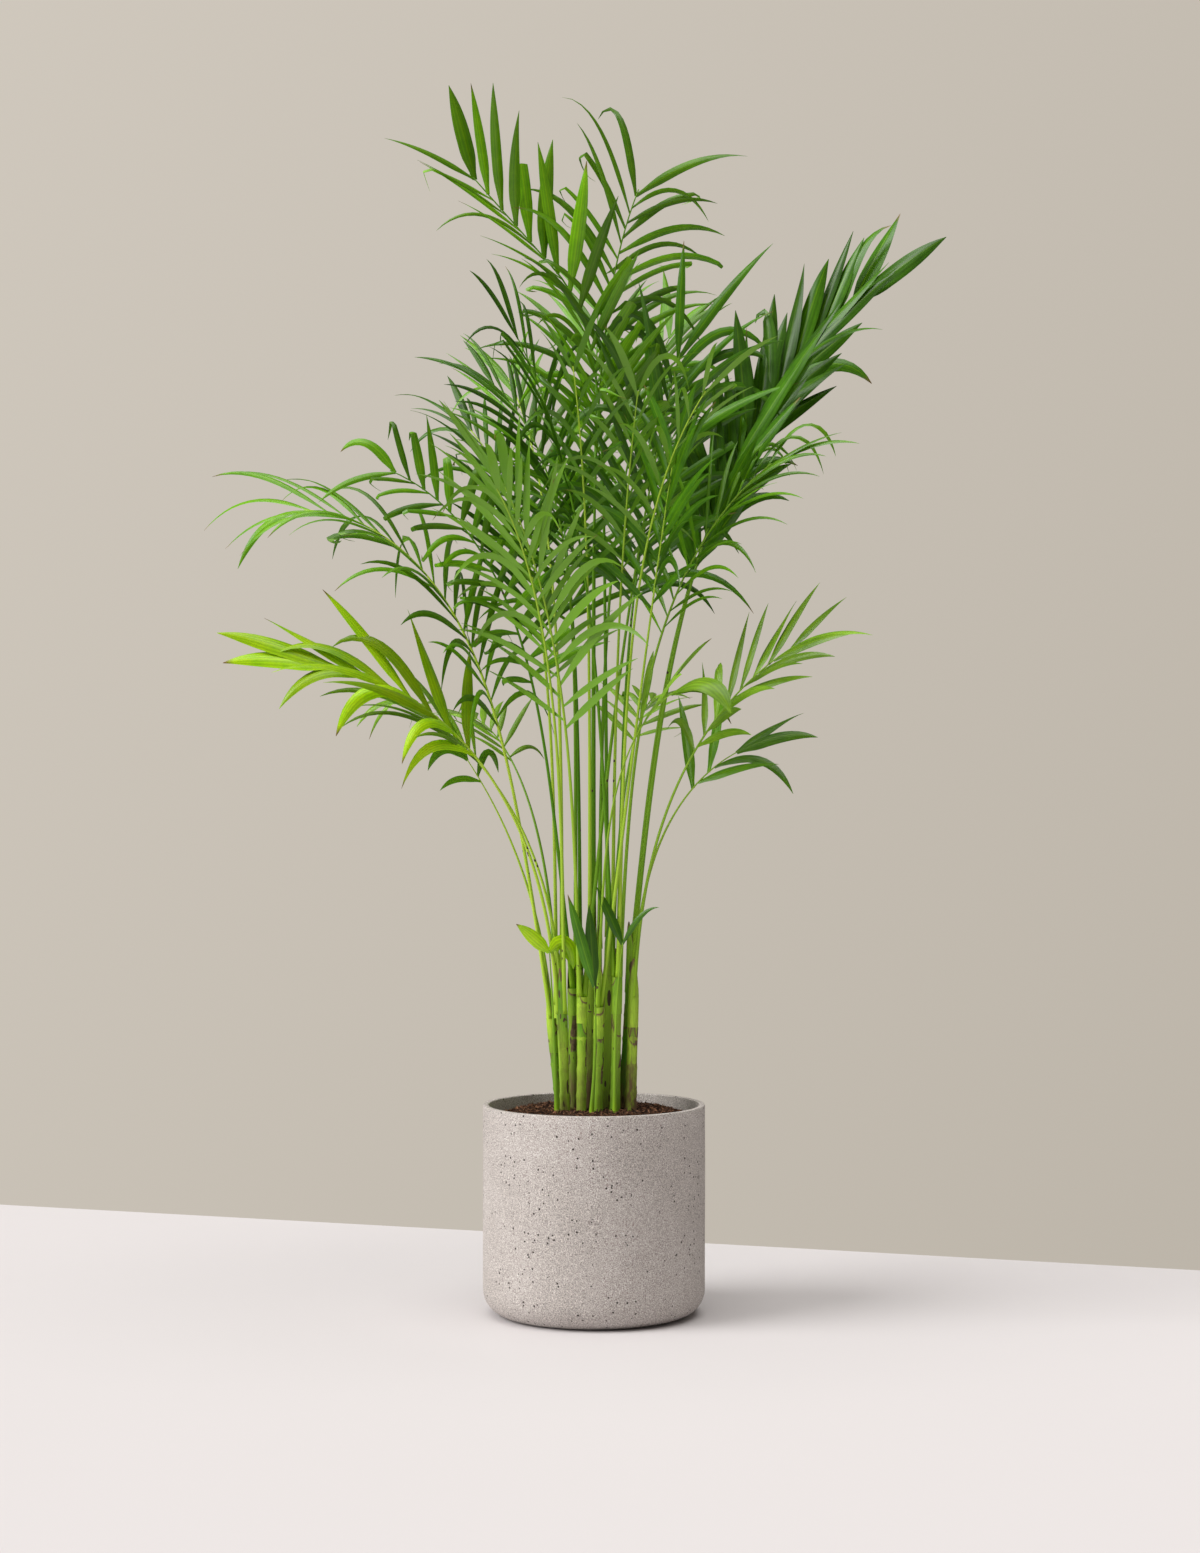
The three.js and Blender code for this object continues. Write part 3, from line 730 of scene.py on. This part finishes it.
def modelCane():
    # one plain cane, a unit tall, drawn up ring by ring; every cane starts as a copy of it
    cane = startPiece(bpy.ops.mesh.primitive_circle_add, "plainCane", vertices=caneSet["sides"],
                      radius=1, fill_type="NGON")
    selectAll()
    for ring in range(caneSet["rings"]):
        extrudeUp(1 / caneSet["rings"])
    selectAll()
    bpy.ops.mesh.normals_make_consistent(inside=False)
    choose(cane)
    return cane


def giveAroundMap(mesh):
    # u goes round the piece and v up it, both from the unit shape
    layer = mesh.uv_layers.new(name="UVMap")
    for polygon in mesh.polygons:
        turns = []
        for corner in polygon.loop_indices:
            place = mesh.vertices[mesh.loops[corner].vertex_index].co
            turns.append(atan2(place.y, place.x) / (2 * pi) % 1.0)
        wraps = max(turns) - min(turns) > 0.5
        for turn, corner in zip(turns, polygon.loop_indices):
            height = mesh.vertices[mesh.loops[corner].vertex_index].co.z
            layer.data[corner].uv = (turn + (1 if wraps and turn < 0.5 else 0), height)


def caneAxis(cane, share):
    lean = limit(share) ** caneSet["bend"]
    return between((cane["footX"], cane["x"]), lean), between((cane["footY"], cane["y"]), lean)


def caneGirth(cane, share):
    return caneSet["radius"] * between((cane["girth"], 1), limit(share))


caneTones = {}  # how pale each cane is by itself, which its sheaths take over


def caneTone(own, share):
    paler, start = 0.25, -0.1
    return limit(own + paler * share + start)


def copyOf(template, name):
    # a copy with its own mesh, and the two values that its skin reads at each point
    piece = addObject(name, template.data.copy())
    for label in ("leafTone", "caneAge"):
        piece.data.attributes.new(label, "FLOAT", "POINT")
    return piece, *(piece.data.attributes[label].data for label in ("leafTone", "caneAge"))


def buildCanes(material):
    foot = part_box("cane_frontA")[0].z / mm
    template = modelCane()
    giveAroundMap(template.data)
    copies = []
    for index, (name, cane) in enumerate(canes.items()):
        roll = makeDice(caneSet["seed"] + index)[0]
        piece, tone, age = copyOf(template, "cane" + name)
        height = cane["top"] - foot
        joints = [between(caneSet["firstJoint"], roll())]
        while joints[-1] < height - caneSet["lastJoint"]:
            joints.append(joints[-1] + between(caneSet["internode"], roll()))
        joints.pop()
        caneTones[name] = own = roll()
        oldest = roll() ** caneSet["ageBias"]
        for vertex in piece.data.vertices:
            share = vertex.co.z
            above = share * height
            angle = atan2(vertex.co.y, vertex.co.x)
            radius = caneGirth(cane, share) + caneSet["flare"] * exp(-above / caneSet["flareReach"])
            radius += caneSet["collar"] * limit((share - caneSet["collarFrom"]) / (1 - caneSet["collarFrom"]))
            for joint in joints:
                gap = above - joint
                radius += caneSet["ringSwell"] * exp(-(gap / caneSet["ringReach"]) ** 2)
                shoulder = caneSet["shoulder"] * exp(-max(0.0, gap) / caneSet["shoulderReach"])
                radius += shoulder * (1 if gap < 0 else caneSet["above"])
            flutes = sin(caneSet["flutes"] * angle + index) * (caneSet["fluteAtFoot"] + share)
            radius += caneSet["flute"] * flutes
            level = above / caneSet["roughLength"] + index * caneSet["apart"]
            spot = offFrom(0, 0, caneSet["roughScale"], angle, level)
            radius += caneSet["rough"] * noise.noise(Vector(spot))
            level = foot + above - caneSet["sink"] * (1 - share)
            vertex.co = Vector(offFrom(*caneAxis(cane, share), radius, angle, level)) * mm
            tone[vertex.index].value = caneTone(own, share)
            age[vertex.index].value = oldest * exp(-above / caneSet["ageReach"])
        copies.append(piece)
    bpy.data.objects.remove(template, do_unlink=True)
    piece = joinPieces(copies, "canes")
    smooth(50)
    dress(piece, material, "cane", ["cane_" + name for name in canes])
    print("canes modelled:", len(canes))


def joinPieces(parts, name):
    choose(*parts)
    bpy.ops.object.join()
    joined = bpy.context.object
    joined.name = name
    joined.data.name = name
    return joined


sheathSet = {
    "sides": 28, "cuts": 6, "lipLow": 0.34, "lipPoint": 2.3, "wall": 0.00030, "clear": 0.2, "rough": 0.15,
    "blendTo": 0.45, "dryLip": 0.85, "lipWide": 0.02, "pinch": 0.03, "dryFront": 0.25,
    "grainScale": 3, "apart": 5,
    "green": {"seed": 400, "perCane": (3, 3), "tall": (70, 105), "ragged": 0.5, "flare": 0.03},
    "dry": {"seed": 600, "perCane": (0, 2), "tall": (20, 52), "ragged": 4, "flare": 0.14},
    "greenStart": (0.1, 0.3), "greenShift": 12, "topOverlap": 0.42,  # where they start on the cane
    "dryStart": (2, 0.62), "topLayer": 0.75, "layers": (0.12, 0.2),
}


def sheathLip(front):
    return between((sheathSet["lipLow"], 1), ((1 + front) / 2) ** sheathSet["lipPoint"])


def modelSheath(kind):
    # a sleeve a unit tall whose top runs up to a long pointed lip on one side; a dry one is only its front
    sheath = startPiece(bpy.ops.mesh.primitive_cylinder_add, "plainSheath", vertices=sheathSet["sides"],
                        radius=1, depth=1, end_fill_type="NOTHING", location=(0, 0, 0.5))
    for cut in range(1, sheathSet["cuts"]):
        cutLevel(cut / sheathSet["cuts"])
    if kind == "dry":
        selectAll()
        bpy.ops.mesh.bisect(plane_co=(sheathSet["dryFront"], 0, 0), plane_no=(1, 0, 0), clear_inner=True)
    choose(sheath)
    for vertex in sheath.data.vertices:
        vertex.co.z *= sheathLip(vertex.co.x)
    return sheath


def buildSheaths(kind, material):
    # green sheaths wrap the canes and the feet of the stalks, dry ones cling lower down
    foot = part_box("cane_frontA")[0].z / mm
    settings = sheathSet[kind]
    template = modelSheath(kind)
    giveAroundMap(template.data)
    copies = []
    few, many = settings["perCane"]
    for index, (name, cane) in enumerate(canes.items()):
        roll, spread = makeDice(settings["seed"] + index)
        height = cane["top"] - foot
        count = few + int((many - few + 1) * roll())
        for number in range(count):
            tall = between(settings["tall"], roll())
            uppermost = kind == "green" and number == count - 1
            if uppermost:
                start = height - sheathSet["topOverlap"] * tall
            elif kind == "green":
                first, step = sheathSet["greenStart"]
                start = height * (first + step * number) + spread(sheathSet["greenShift"])
            else:
                first, most = sheathSet["dryStart"]
                start = first + height * most * roll()
            first, step = sheathSet["layers"]
            layer = sheathSet["clear"] + (sheathSet["topLayer"] if uppermost else first + step * number)
            turn = 2 * pi * roll()
            piece, tone, age = copyOf(template, kind + "Sheath")
            own = roll()
            for vertex in piece.data.vertices:
                share = vertex.co.z
                above = start + share * tall
                lip = sheathLip(vertex.co.x)
                x, y = vertex.co.xy * sheathSet["grainScale"]
                grain = noise.noise(Vector((x, y, index * sheathSet["apart"] + number)))
                above += grain * settings["ragged"] * share * share
                wide = (caneGirth(cane, above / height) + layer) * (1 + settings["flare"] * share * share)
                wide -= sheathSet["pinch"] * max(0.0, above - height)
                wide += sheathSet["rough"] * grain
                spin = atan2(vertex.co.y, vertex.co.x) + turn
                vertex.co = Vector(offFrom(*caneAxis(cane, above / height), wide, spin, foot + above)) * mm
                # it takes over the cane's tone at its foot, and dries at its lip
                blend = min(1.0, share / sheathSet["blendTo"])
                taken = caneTone(caneTones[name], above / height)
                tone[vertex.index].value = between((taken, own), blend)
                age[vertex.index].value = sheathSet["dryLip"] if share > lip - sheathSet["lipWide"] else 0.0
            copies.append(piece)
    bpy.data.objects.remove(template, do_unlink=True)
    piece = joinPieces(copies, kind + "Sheaths")
    wall = piece.modifiers.new("wall", "SOLIDIFY")
    wall.thickness = sheathSet["wall"]
    wall.offset = 1.0
    bpy.ops.object.modifier_apply(modifier=wall.name)
    smooth(50)
    dress(piece, material, "cane", ["cane_" + name for name in canes])
    print(kind, "sheaths wrapped:", len(copies))


# A frond's stalk leaves its cane at lean degrees from upright towards heading, and has bent over by a
# further arch degrees where the bend is full, more of it near there the larger late is. The blade is
# rolled about the stalk, and its leaflets stand open degrees from the stalk at the bottom and close at
# the top, and lift degrees out of its face. They droop at their ends, those on the blade's lower side sag
# times as much, and are slim times as wide there.
frondHabit = {"lift": 18, "open": 55, "close": 20, "full": 1, "sag": 1, "slim": 1, "limp": 0.2, "tint": "mid",
              "folded": 0.05, "finer": 1.2}


frondColumns = ("name", "cane", "heading", "lean", "arch", "length", "late", "bare", "roll", "pairs",
                "leafLength", "leafWidth", "droop")


def frond(*row, **others):
    # a row follows the columns, and what differs from the habit comes after it
    return {**frondHabit, **dict(zip(frondColumns, row)), **others}


fronds = [
    # left side, from the lowest up
    frond("leftLowSmall", "middleA", 176, 4, 30, 325, 1.1, 0.88, 50, 2, 75, 9, 0.9, open=60),
    frond("leftLow", "frontA", 178, 4, 50, 385, 1.5, 0.8, 30, 5, 150, 9, 0.8, tint="fresh", open=45,
          close=12, finer=1),
    frond("leftLime", "frontA", 188, 5, 74, 520, 1.6, 0.6, 50, 7, 145, 17, 0.2, sag=3.5, tint="lime",
          open=44, close=4, finer=1, lift=30),
    frond("leftLong", "middleA", 184, 9, 81, 710, 3.6, 0.48, 35, 14, 150, 9, 1.2, limp=0.3),
    frond("leftUpper", "middleB", 186, 6, 62, 670, 3.5, 0.53, 66, 13, 106, 11, 0.35, sag=2, slim=0.7,
          folded=0.75, open=68, close=40),
    # top
    # the top-left frond's sunlit tint is painted light
    frond("topLeft", "middleD", 180, 0.5, 41, 944, 9, 0.58, 62, 13, 146, 15, 0.15, full=0.84, sag=2.5,
          slim=0.4, open=48, close=34, tint="sunlit", folded=0.35, limp=0.05, lift=38),
    frond("topLeftInner", "frontD", 193, 3, 25, 760, 3.2, 0.6, 44, 10, 130, 7, 0.8, tint="dark"),
    frond("topCentre", "middleC", 30, 0, 24, 900, 5, 0.66, -80, 13, 158, 8, 1, open=56, close=34,
          folded=0.35, lift=2),
    frond("upperLeft", "backB", 155, 0, 52, 730, 4.5, 0.6, 30, 11, 110, 7, 0.6, tint="dark"),
    frond("centreRight", "frontB", 20, 6, 9, 765, 2, 0.6, -75, 12, 180, 11, 0.55, open=48, close=22,
          tint="dark"),
    # right side, from the highest down
    frond("rightTop", "middleE", 2, 6, 44, 845, 2.4, 0.54, -50, 13, 145, 19, 0.15, open=36, close=20,
          tint="dark", lift=35),
    frond("rightSecond", "middleE", 24, 6, 36, 745, 2.2, 0.62, -52, 9, 135, 20, 0.35, open=32, close=18,
          tint="dark", lift=35),
    frond("rightMid", "frontD", -12, 3, 50, 640, 2.6, 0.62, -50, 10, 130, 6, 0.8),
    frond("rightLow", "frontE", -14, 4, 55, 470, 1.6, 0.62, -50, 8, 108, 12, 0.35, sag=2, tint="fresh",
          finer=1),
    frond("rightNear", "frontC", -40, 3, 62, 400, 3.2, 0.8, -40, 3, 110, 22, 0.5, close=6, tint="fresh",
          finer=1),
    frond("rightLowest", "frontE", 8, 3, 60, 330, 1.9, 0.76, -40, 3, 120, 13, 0.5, close=8, finer=1),
    # middle and front
    frond("frontCentre", "frontB", -124, 3, 38.5, 610, 2.4, 0.5, 0, 10, 150, 9, 0.3, open=60, close=12,
          lift=5),
    frond("middleRight", "middleD", -75, 2, 24, 640, 2, 0.66, -10, 7, 120, 6, 0.9),
    frond("middleDark", "frontC", -34, 8.5, 2, 640, 3, 0.72, -75, 8, 120, 11, 0.6, open=50, tint="dark"),
    frond("frontLeft", "frontA", -116, 1.5, 51.5, 640, 2.6, 0.6, -10, 9, 120, 7, 0.7),
    frond("frontRight", "frontD", -50, 2, 46, 700, 3.2, 0.7, 5, 6, 110, 6, 0.7),
    frond("frontHigh", "middleC", -98, 0, 46, 690, 3, 0.62, 10, 7, 115, 6, 0.6, tint="dark"),
    # back
    frond("backLeft", "backA", 130, 1, 52, 740, 3, 0.58, 10, 12, 130, 8, 0.5, tint="dark"),
    frond("backLeftHigh", "backA", 112, 0, 52, 810, 2.8, 0.6, 15, 12, 130, 8, 0.5),
    frond("backLow", "backB", 100, 2, 66, 680, 2.6, 0.6, 0, 11, 130, 8, 0.5),
    frond("backHigh", "backC", 88, 0, 42, 810, 3, 0.6, 0, 12, 140, 8, 0.5),
    frond("backRight", "backD", 62, 2, 52, 740, 3, 0.6, -10, 12, 130, 8, 0.5, tint="dark"),
    frond("backRightHigh", "backC", 60, 1, 45, 790, 2.6, 0.6, -15, 12, 130, 8, 0.5),
    frond("backRightLow", "backD", 76, 5, 70, 430, 1.6, 0.72, -5, 5, 85, 8, 0.5, tint="fresh"),
    frond("backLeftLow", "backA", 120, 5, 70, 430, 1.6, 0.72, 10, 5, 85, 8, 0.5, tint="fresh"),
]

# Young shoots that rise from the soil at the clump's edge
shoots = [
    frond("shootLeft", None, 180, 2, 2, 190, 2, 0.97, 80, 1, 66, 13, 6, x=-43, y=-28, close=50, sag=0.03,
          tint="lime", finer=1, limp=0, lift=10),
    frond("shootMiddle", None, 180, -4, 8, 150, 2, 0.97, 80, 1, 118, 12, 0.1, x=-3, y=-40, close=7,
          tint="dark", finer=1, limp=0, lift=10),
    frond("shootRight", None, 0, 0, 8, 200, 2, 0.97, -80, 1, 84, 11, 0.2, x=24, y=-40, close=30, sag=6,
          slim=0.6, tint="dark", finer=1, limp=0, lift=10),
]

stalkSet = {
    "seed": 900, "base": 1.9, "perLength": 0.0008, "seat": {1: 0, 2: 3.4, 3: 3.9}, "walk": 84, "rings": 60,
    "sides": 8, "footSwell": 0.6, "footReach": 34, "hollow": 0.28, "lastRoot": 0.99, "ringCrowd": 1.15,
    "toneBias": 1.3, "taper": (0.6, 1.2),  # in the lower half and in the upper
}

bladeSet = {
    "rings": 14, "thick": 0.3, "tent": 14, "light": 0.2, "twist": 45, "bend": 0.22, "lastWide": 1.45,
    "foldAt": (0.55, 0.75), "foldTurn": 135, "foldReach": 0.09, "limpDroop": (2, 0.8), "stagger": 0.18,
    "shorter": 0.22, "narrower": 0.15,  # how much the first and last leaflets lack of the full size
    "fullness": (0.15, 0.85), "openCurve": 0.9, "openSpread": 8, "liftSpread": 15, "lengthSpread": 0.14,
    "widthSpread": 0.2, "droopSpread": 0.35, "droopCurve": 1.6, "twistCurve": 1.5, "thinning": 0.6,
    "footWide": 0.34, "fullFrom": 0.3, "narrowFrom": 0.42, "narrowing": 2.1, "tipWide": 0.03,
    # the six corners of a ring: how far out in half widths, and how far down the tent's slope
    "corners": ((-1, 1), (-0.5, 0.35), (0, 0), (0.5, 0.35), (1, 1), (0, 0.3)),
}


def frameFor(plan, tipped):
    # along, across and face directions of a frond whose stalk is tipped over
    heading, roll = radians(plan["heading"]), radians(plan["roll"])
    out = np.array([cos(heading), sin(heading), 0.0])
    along = out * sin(tipped) + up * cos(tipped)
    face = -out * cos(tipped) + up * sin(tipped)
    side = np.cross(out, up)
    across = side * cos(roll) + face * sin(roll)
    above = face * cos(roll) - side * sin(roll)
    return along, across, above


def tippedAt(plan, share):
    return radians(plan["lean"] + plan["arch"] * min(1, share / plan["full"]) ** plan["late"])


def walkStalk(plan, start):
    point = np.array(start, dtype=float)
    joints = [point.copy()]
    for step in range(stalkSet["walk"]):
        along = frameFor(plan, tippedAt(plan, (step + 0.5) / stalkSet["walk"]))[0]
        point = point + along * plan["length"] / stalkSet["walk"]
        joints.append(point.copy())
    return np.array(joints)


def pointAt(joints, share):
    place = share * (len(joints) - 1)
    index = min(int(place), len(joints) - 2)
    return joints[index] + (joints[index + 1] - joints[index]) * (place - index)


def stalkRadius(plan, share):
    base = stalkSet["base"] + stalkSet["perLength"] * plan["length"]
    lower, upper = stalkSet["taper"]
    return base * (1 - lower * min(share, 0.5)) * (1 - upper * max(0, share - 0.5))


def seatOnCane(plan):
    # the stalks of one cane stand in a ring on its top, each on the side it bends to
    mates = [mate for mate in fronds if mate["cane"] == plan["cane"]]
    mates.sort(key=lambda mate: mate["heading"] % 360)
    count = len(mates)
    turns = [radians(mate["heading"]) - 2 * pi * i / count for i, mate in enumerate(mates)]
    turn = atan2(sum(map(sin, turns)), sum(map(cos, turns)))
    turn += 2 * pi * mates.index(plan) / count
    cane = canes[plan["cane"]]
    radius = stalkSet["seat"][count]
    return offFrom(cane["x"], cane["y"], radius, turn, cane["top"] + caneSet["seat"])


def growLeaflets(plan, joints, seed):
    roll, spread = makeDice(seed)
    count = max(1, round(plan["pairs"] * plan["finer"]))
    leaflets = []
    for pair in range(count):
        for side in (1, -1):
            last = pair == count - 1
            rank = 1.0 if last else (pair + 0.5 + bladeSet["stagger"] * side) / count
            share = min(plan["bare"] + (1 - plan["bare"]) * rank, stalkSet["lastRoot"])
            along, across, above = frameFor(plan, tippedAt(plan, share))
            fullness = sin(pi * between(bladeSet["fullness"], rank))
            opening = between((plan["open"], plan["close"]), rank ** bladeSet["openCurve"])
            opening = radians(opening + spread(bladeSet["openSpread"]))
            lifted = radians(plan["lift"] + spread(bladeSet["liftSpread"]))
            start = along * cos(opening) + across * side * sin(opening) * cos(lifted)
            start = start + above * sin(opening) * sin(lifted)
            length = plan["leafLength"] * (1 - bladeSet["shorter"] * (1 - fullness))
            length *= 1 + spread(bladeSet["lengthSpread"])
            width = plan["leafWidth"] * (1 - bladeSet["narrower"] * (1 - sin(pi * rank)))
            width *= 1 + spread(bladeSet["widthSpread"])
            droop = plan["droop"] * (1 + spread(bladeSet["droopSpread"]))
            if side * plan["roll"] < 0:
                droop, width = droop * plan["sag"], width * plan["slim"]
            if roll() < plan["limp"]:
                droop = droop * bladeSet["limpDroop"][0] + bladeSet["limpDroop"][1]
            leaflets.append({
                "root": pointAt(joints, share), "start": start, "along": along, "above": above,
                "length": length, "width": width * (bladeSet["lastWide"] if last else 1), "droop": droop,
                "twist": radians(spread(bladeSet["twist"])), "bend": spread(bladeSet["bend"]),
                # a fold beyond the tip is none at all
                "foldAt": 2.0 if roll() >= plan["folded"] or last else between(bladeSet["foldAt"], roll()),
                "tone": roll(),
            })
    return leaflets


def bladeWidth(way):
    # narrow at the stalk, full from a third of the way, then drawn out to a point
    rise = limit(way / bladeSet["fullFrom"])
    rise = between((bladeSet["footWide"], 1), rise * rise * (3 - 2 * rise))
    fall = limit((way - bladeSet["narrowFrom"]) / (1 - bladeSet["narrowFrom"])) ** bladeSet["narrowing"]
    return max(rise * (1 - fall), bladeSet["tipWide"])


def normalised(rows):
    return rows / np.linalg.norm(rows, axis=1, keepdims=True)


def tubeFaces(count, rings, turns, endTurn):
    # the walls and the two ends of closed tubes laid out ring by ring, with their places on the UV map
    faces, uvs, sides = [], [], len(turns) - 1
    for tube in range(count):
        base = tube * rings * sides
        for ring in range(rings - 1):
            low, high = ring / (rings - 1), (ring + 1) / (rings - 1)
            for side in range(sides):
                a = base + ring * sides + side
                b = base + ring * sides + (side + 1) % sides
                faces.append((a, b, b + sides, a + sides))
                left, right = turns[side], turns[side + 1]
                uvs += [(left, low), (right, low), (right, high), (left, high)]
        last = base + (rings - 1) * sides
        faces.append(tuple(base + side for side in reversed(range(sides))))
        faces.append(tuple(last + side for side in range(sides)))
        uvs += [(endTurn, 0.0)] * sides + [(endTurn, 1.0)] * sides
    return faces, uvs


def turnedTowards(first, second, angle):
    # the two directions after a turn from the first towards the second
    keep, give = np.cos(angle)[:, None], np.sin(angle)[:, None]
    return first * keep + second * give, second * keep - first * give


def bladeMesh(name, leaflets):
    # every leaflet is a thin closed blade with a raised midrib, six points to a ring
    def column(key):
        return np.array([leaflet[key] for leaflet in leaflets], dtype=float)

    count, rings = len(leaflets), bladeSet["rings"]
    start, along, above = column("start"), column("along"), column("above")
    length, width, droop = column("length"), column("width"), column("droop")
    twist, bend, foldAt = column("twist"), column("bend"), column("foldAt")
    point = column("root")
    fall = sin(radians(bladeSet["tent"]))
    grid = np.zeros((count, rings, 6, 3))
    for ring in range(rings):
        way = ring / (rings - 1)
        sunk = (droop * way ** bladeSet["droopCurve"])[:, None]
        direction = normalised(start - up * sunk + along * (bend * way)[:, None])
        face = above * (1 - bladeSet["light"] * way) + up * bladeSet["light"] * way
        face = normalised(face - direction * np.sum(face * direction, axis=1, keepdims=True))
        face, wide = turnedTowards(face, np.cross(direction, face), twist * way ** bladeSet["twistCurve"])
        foldedBy = np.radians(bladeSet["foldTurn"]) * np.clip((way - foldAt) / bladeSet["foldReach"], 0, 1)
        face, direction = turnedTowards(face, direction, foldedBy)
        half = (0.5 * width * bladeWidth(way))[:, None]
        thin = bladeSet["thick"] * (1 - bladeSet["thinning"] * way)
        for corner, (out, down) in enumerate(bladeSet["corners"]):
            grid[:, ring, corner] = point + wide * half * out - face * half * fall * down
        grid[:, ring, 2] += face * thin
        grid[:, ring, 5] -= face * thin
        point = point + direction * (length / (rings - 1))[:, None]
    # the face takes the map from 0 to 1 across, and the underside from 1 to 2
    faces, uvs = tubeFaces(count, rings, [0.0, 0.25, 0.5, 0.75, 1.0, 1.5, 2.0], 0.4)
    tones = np.repeat(column("tone"), rings * 6)
    return meshFromArrays(name, grid.reshape(-1, 3) * mm, faces, uvs, tones)


def stalkMesh(plans):
    # the stalk is swollen where it leaves its cane, hollowed on top and drawn out to the frond's tip
    points, tones = [], []
    rings, sides = stalkSet["rings"], stalkSet["sides"]
    for index, plan in enumerate(plans):
        roll = makeDice(stalkSet["seed"] + index)[0]
        for ring in range(rings):
            share = (ring / (rings - 1)) ** stalkSet["ringCrowd"]
            along, across, above = frameFor(plan, tippedAt(plan, share))
            centre = pointAt(plan["joints"], share)
            swell = stalkSet["footSwell"] * exp(-share * plan["length"] / stalkSet["footReach"])
            radius = stalkRadius(plan, share) * (1 + swell)
            for side in range(sides):
                angle = pi / 2 - 2 * pi * side / sides
                reach = radius * (1 - stalkSet["hollow"] * max(0.0, sin(angle)) ** 4)
                points.append(centre + across * reach * cos(angle) + above * reach * sin(angle))
        tones += [roll() ** stalkSet["toneBias"]] * (rings * sides)
    faces, uvs = tubeFaces(len(plans), rings, [side / sides for side in range(sides + 1)], 0.5)
    return meshFromArrays("stalks", np.array(points) * mm, faces, uvs, tones)


def nodeOf(plan):
    return ("frond_" if plan["cane"] else "young_") + plan["name"]


def buildFoliage():
    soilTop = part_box("soil")[1].z / mm + caneSet["seat"]
    byTint = {tint: [] for tint in leafTints}
    nodesByTint = {tint: [] for tint in leafTints}
    plans = fronds + shoots
    for index, plan in enumerate(plans):
        start = seatOnCane(plan) if plan["cane"] else (plan["x"], plan["y"], soilTop)
        plan["joints"] = walkStalk(plan, start)
        byTint[plan["tint"]] += growLeaflets(plan, plan["joints"], index + 1)
        nodesByTint[plan["tint"]].append(nodeOf(plan))
    total = 0
    for tint, leaflets in byTint.items():
        blades = bladeMesh("leaflets" + tint.capitalize(), leaflets)
        choose(blades)
        smooth(55)
        skin = leafMaterial("leaf" + tint.capitalize(), leafTints[tint])
        dress(blades, skin, leafTints[tint]["slot"], nodesByTint[tint])
        total += len(leaflets)
    stalks = stalkMesh(plans)
    dress(stalks, stalkMaterial(), "leaf_mid", [nodeOf(plan) for plan in plans])
    print("leaflets grown:", total, "on", len(plans), "fronds and shoots")


def buildFloor():
    # a plain sheet whose far edge runs behind the pot
    reach, edge, slope = backdropSet["floorReach"], backdropSet["backEdge"], backdropSet["edgeSlope"]
    floor = startPiece(bpy.ops.mesh.primitive_plane_add, "paleFloor", size=2 * reach, location=(0, 0, 0))
    selectAll()
    bpy.ops.mesh.bisect(plane_co=(0, edge, 0), plane_no=(-slope, 1, 0), clear_outer=True)
    choose(floor)
    floor.data.materials.append(floorMaterial())


addCamera()
addLights()
addBackdrop()
bpy.context.scene.view_settings.view_transform = "Standard"
print("camera and light set")

buildFloor()
buildPot(potMaterial())
buildSoil(soilMaterial())
buildChips(chipMaterial())
buildCanes(caneMaterial("caneSkin"))
buildSheaths("green", caneMaterial("greenSheath"))
buildSheaths("dry", dryMaterial())
buildFoliage()
deselectAll()
